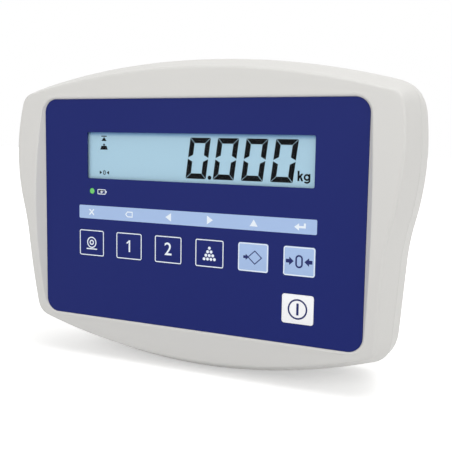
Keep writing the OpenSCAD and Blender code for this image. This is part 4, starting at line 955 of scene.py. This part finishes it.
letter_g += [(inner_w * math.cos(t), tail_y + inner_h * math.sin(t)) for t in reversed(tail_turns)]
letter_g += [(2.0 * math.cos(t), 2.0 * math.sin(t)) for t in bowl_turns]
display_marks += [placed(letter_k, 71.9, unit_y), placed(letter_g, 76.1, unit_y),
                  circle_loop(76.1, unit_y, 0.95, 24)]
printed("display_marks", "case", "lcd_ink", segment_black, -2.09, display_marks)


# Charge lamp: a green diode on the switch board, and over it a domed green lens that is pressed
# into a hole in the panel and shows the diode's light.
lamp_glow = moulded("lamp_glow", linear(96, 186, 92), roughness=0.25, grain=500.0, relief=0.0,
                    Emission_Color=(0.12, 0.55, 0.12, 1.0), Emission_Strength=0.18)
dress(lamp_glow, "charge_led")
lens = bmesh.new()
turned(lens, [(0, 0.12), (0.8, 0.1), (1.4, 0.04), (1.8, -0.1), (1.94, -0.35), (1.94, -3.6), (1.8, -3.7),
              (0, -3.7)], lamp_x, lamp_y, 32)
lamp_lens = piece("lamp_lens", lens, lamp_glow)
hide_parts("led_lens")
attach(lamp_lens, "case")


# Boards: three glass fibre boards with green mask and copper tracks, their screws, the display's
# pins, and the flat cable with two plugs that joins the front to the main board.
def board_material():
    material, nodes, links, shader = new_material("green_board")
    place = new_node(nodes, "TexCoord")
    turn = new_node(nodes, "Mapping", Rotation=(math.pi / 2, 0.0, 0.0))
    tracks = new_node(nodes, "TexBrick", Scale=90.0, Mortar_Size=0.045, Color1=linear(24, 92, 52),
                      Color2=linear(28, 100, 58), Mortar=linear(62, 140, 84))
    links.new(place.outputs["Object"], turn.inputs["Vector"])
    links.new(turn.outputs["Vector"], tracks.inputs["Vector"])
    links.new(tracks.outputs["Color"], shader.inputs["Base Color"])
    set_inputs(shader, Roughness=0.35)
    add_relief(nodes, links, tracks.outputs["Fac"], 0.3, 0.00005)
    return material


contact_gold = metal("contact_gold", linear(214, 178, 96), roughness=0.2)
ribbon_grey = moulded("ribbon_grey", linear(168, 168, 170), roughness=0.5, grain=600.0, relief=0.2)
dress(board_material(), "switch_board", "lcd_board", "main_board")
dress(zinc_steel, "switch_board_screws", "lcd_board_screws", "main_board_screws")
dress(contact_gold, "lcd_pins")
dress(black_plastic, "ribbon_plugs")
dress(ribbon_grey, "ribbon_cable")


# Main board parts: processor, shielded converter, capacitors in blue sleeves, regulator on its
# finned heat sink, buzzer, and the glass fuse in its two clips.
sleeve_blue = moulded("sleeve_blue", linear(32, 36, 82), roughness=0.35, relief=0.05)
sink_metal = metal("sink_metal", linear(196, 198, 202), roughness=0.35)
fuse_glass = moulded("fuse_glass", linear(220, 228, 228), roughness=0.1, relief=0.0, Alpha=0.35)
dress(black_plastic, "processor", "regulator", "buzzer")
dress(zinc_steel, "converter_can")
dress(sleeve_blue, "capacitors")
dress(sink_metal, "heat_sink")
dress(fuse_glass, "fuse")
dress(contact_gold, "fuse_clips")


# Connector bay: the nine pole port in its plated steel shell, the power jack with its pin, and the
# nylon gland whose cap squeezes a rubber seal round the load cell cable.
softened("serial_port_shell", "serial_connector", "case", zinc_steel, 0.12)
softened("serial_port_posts", "serial_standoffs", "case", zinc_steel, 0.15)
dress(contact_gold, "serial_pins")
softened("power_jack_body", "dc_jack", "case", black_plastic, 0.25)
dress(zinc_steel, "dc_jack_pin")
nylon_black = moulded("nylon_black", linear(44, 44, 47), roughness=0.38, grain=1200.0, relief=0.15)
softened("gland_thread_body", "gland_body", "case", nylon_black, 0.3)
dress(nylon_black, "gland_nut")
dress(black_rubber, "gland_seal")
cap = bmesh.new()
turned(cap, [(6.3, -63.5), (6.3, -67.8), (3.8, -67.8), (3.8, -69.0), (4.2, -69.4), (6.2, -69.4),
             (7.2, -68.9), (7.8, -67.6), (7.8, -63.9), (7.4, -63.5)], gland_x, bay_mid, 60)
for i in range(30):
    place = Matrix.Translation((gland_x, bay_mid, 0)) @ Matrix.Rotation(math.radians(12 * i), 4, "Z")
    place = place @ Matrix.Translation((7.62, 0, -65.6)) @ Matrix.Rotation(math.pi / 4, 4, "Z")  # a rib
    bmesh.ops.create_cube(cap, size=1.0, matrix=place @ Matrix.Diagonal((0.55, 0.55, 3.2, 1)))
gland_cap = piece("gland_cap_ribbed", cap, nylon_black)
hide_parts("gland_cap")
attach(gland_cap, "case")


# Battery and its door: a sealed lead battery with two tabs and leads, behind a moulded cover that
# four captive screws hold in the back. The cover and its screws come off together.
battery_plastic = moulded("battery_plastic", linear(52, 52, 56), roughness=0.5, relief=0.25)
lead_red = moulded("lead_red", linear(168, 34, 34), roughness=0.4, relief=0.05)
softened("battery_case", "battery", "case", battery_plastic, 1.2, 3)
dress(contact_gold, "battery_tabs")
dress(lead_red, "battery_leads")
softened("battery_cover_plate", "battery_cover", "battery_cover", case_plastic, 0.3)
softened("cover_screw_set", "cover_screws", "battery_cover", zinc_steel, 0.12)


# Bracket inserts and feet: four brass inserts moulded in the back for a wall bracket, and four
# rubber feet stuck in their seats under the base.
brass = metal("insert_brass", linear(205, 170, 98), roughness=0.28)
softened("bracket_insert_set", "bracket_inserts", "case", brass, 0.25)
softened("rubber_foot_set", "rubber_feet", "case", black_rubber, 0.6, 4)
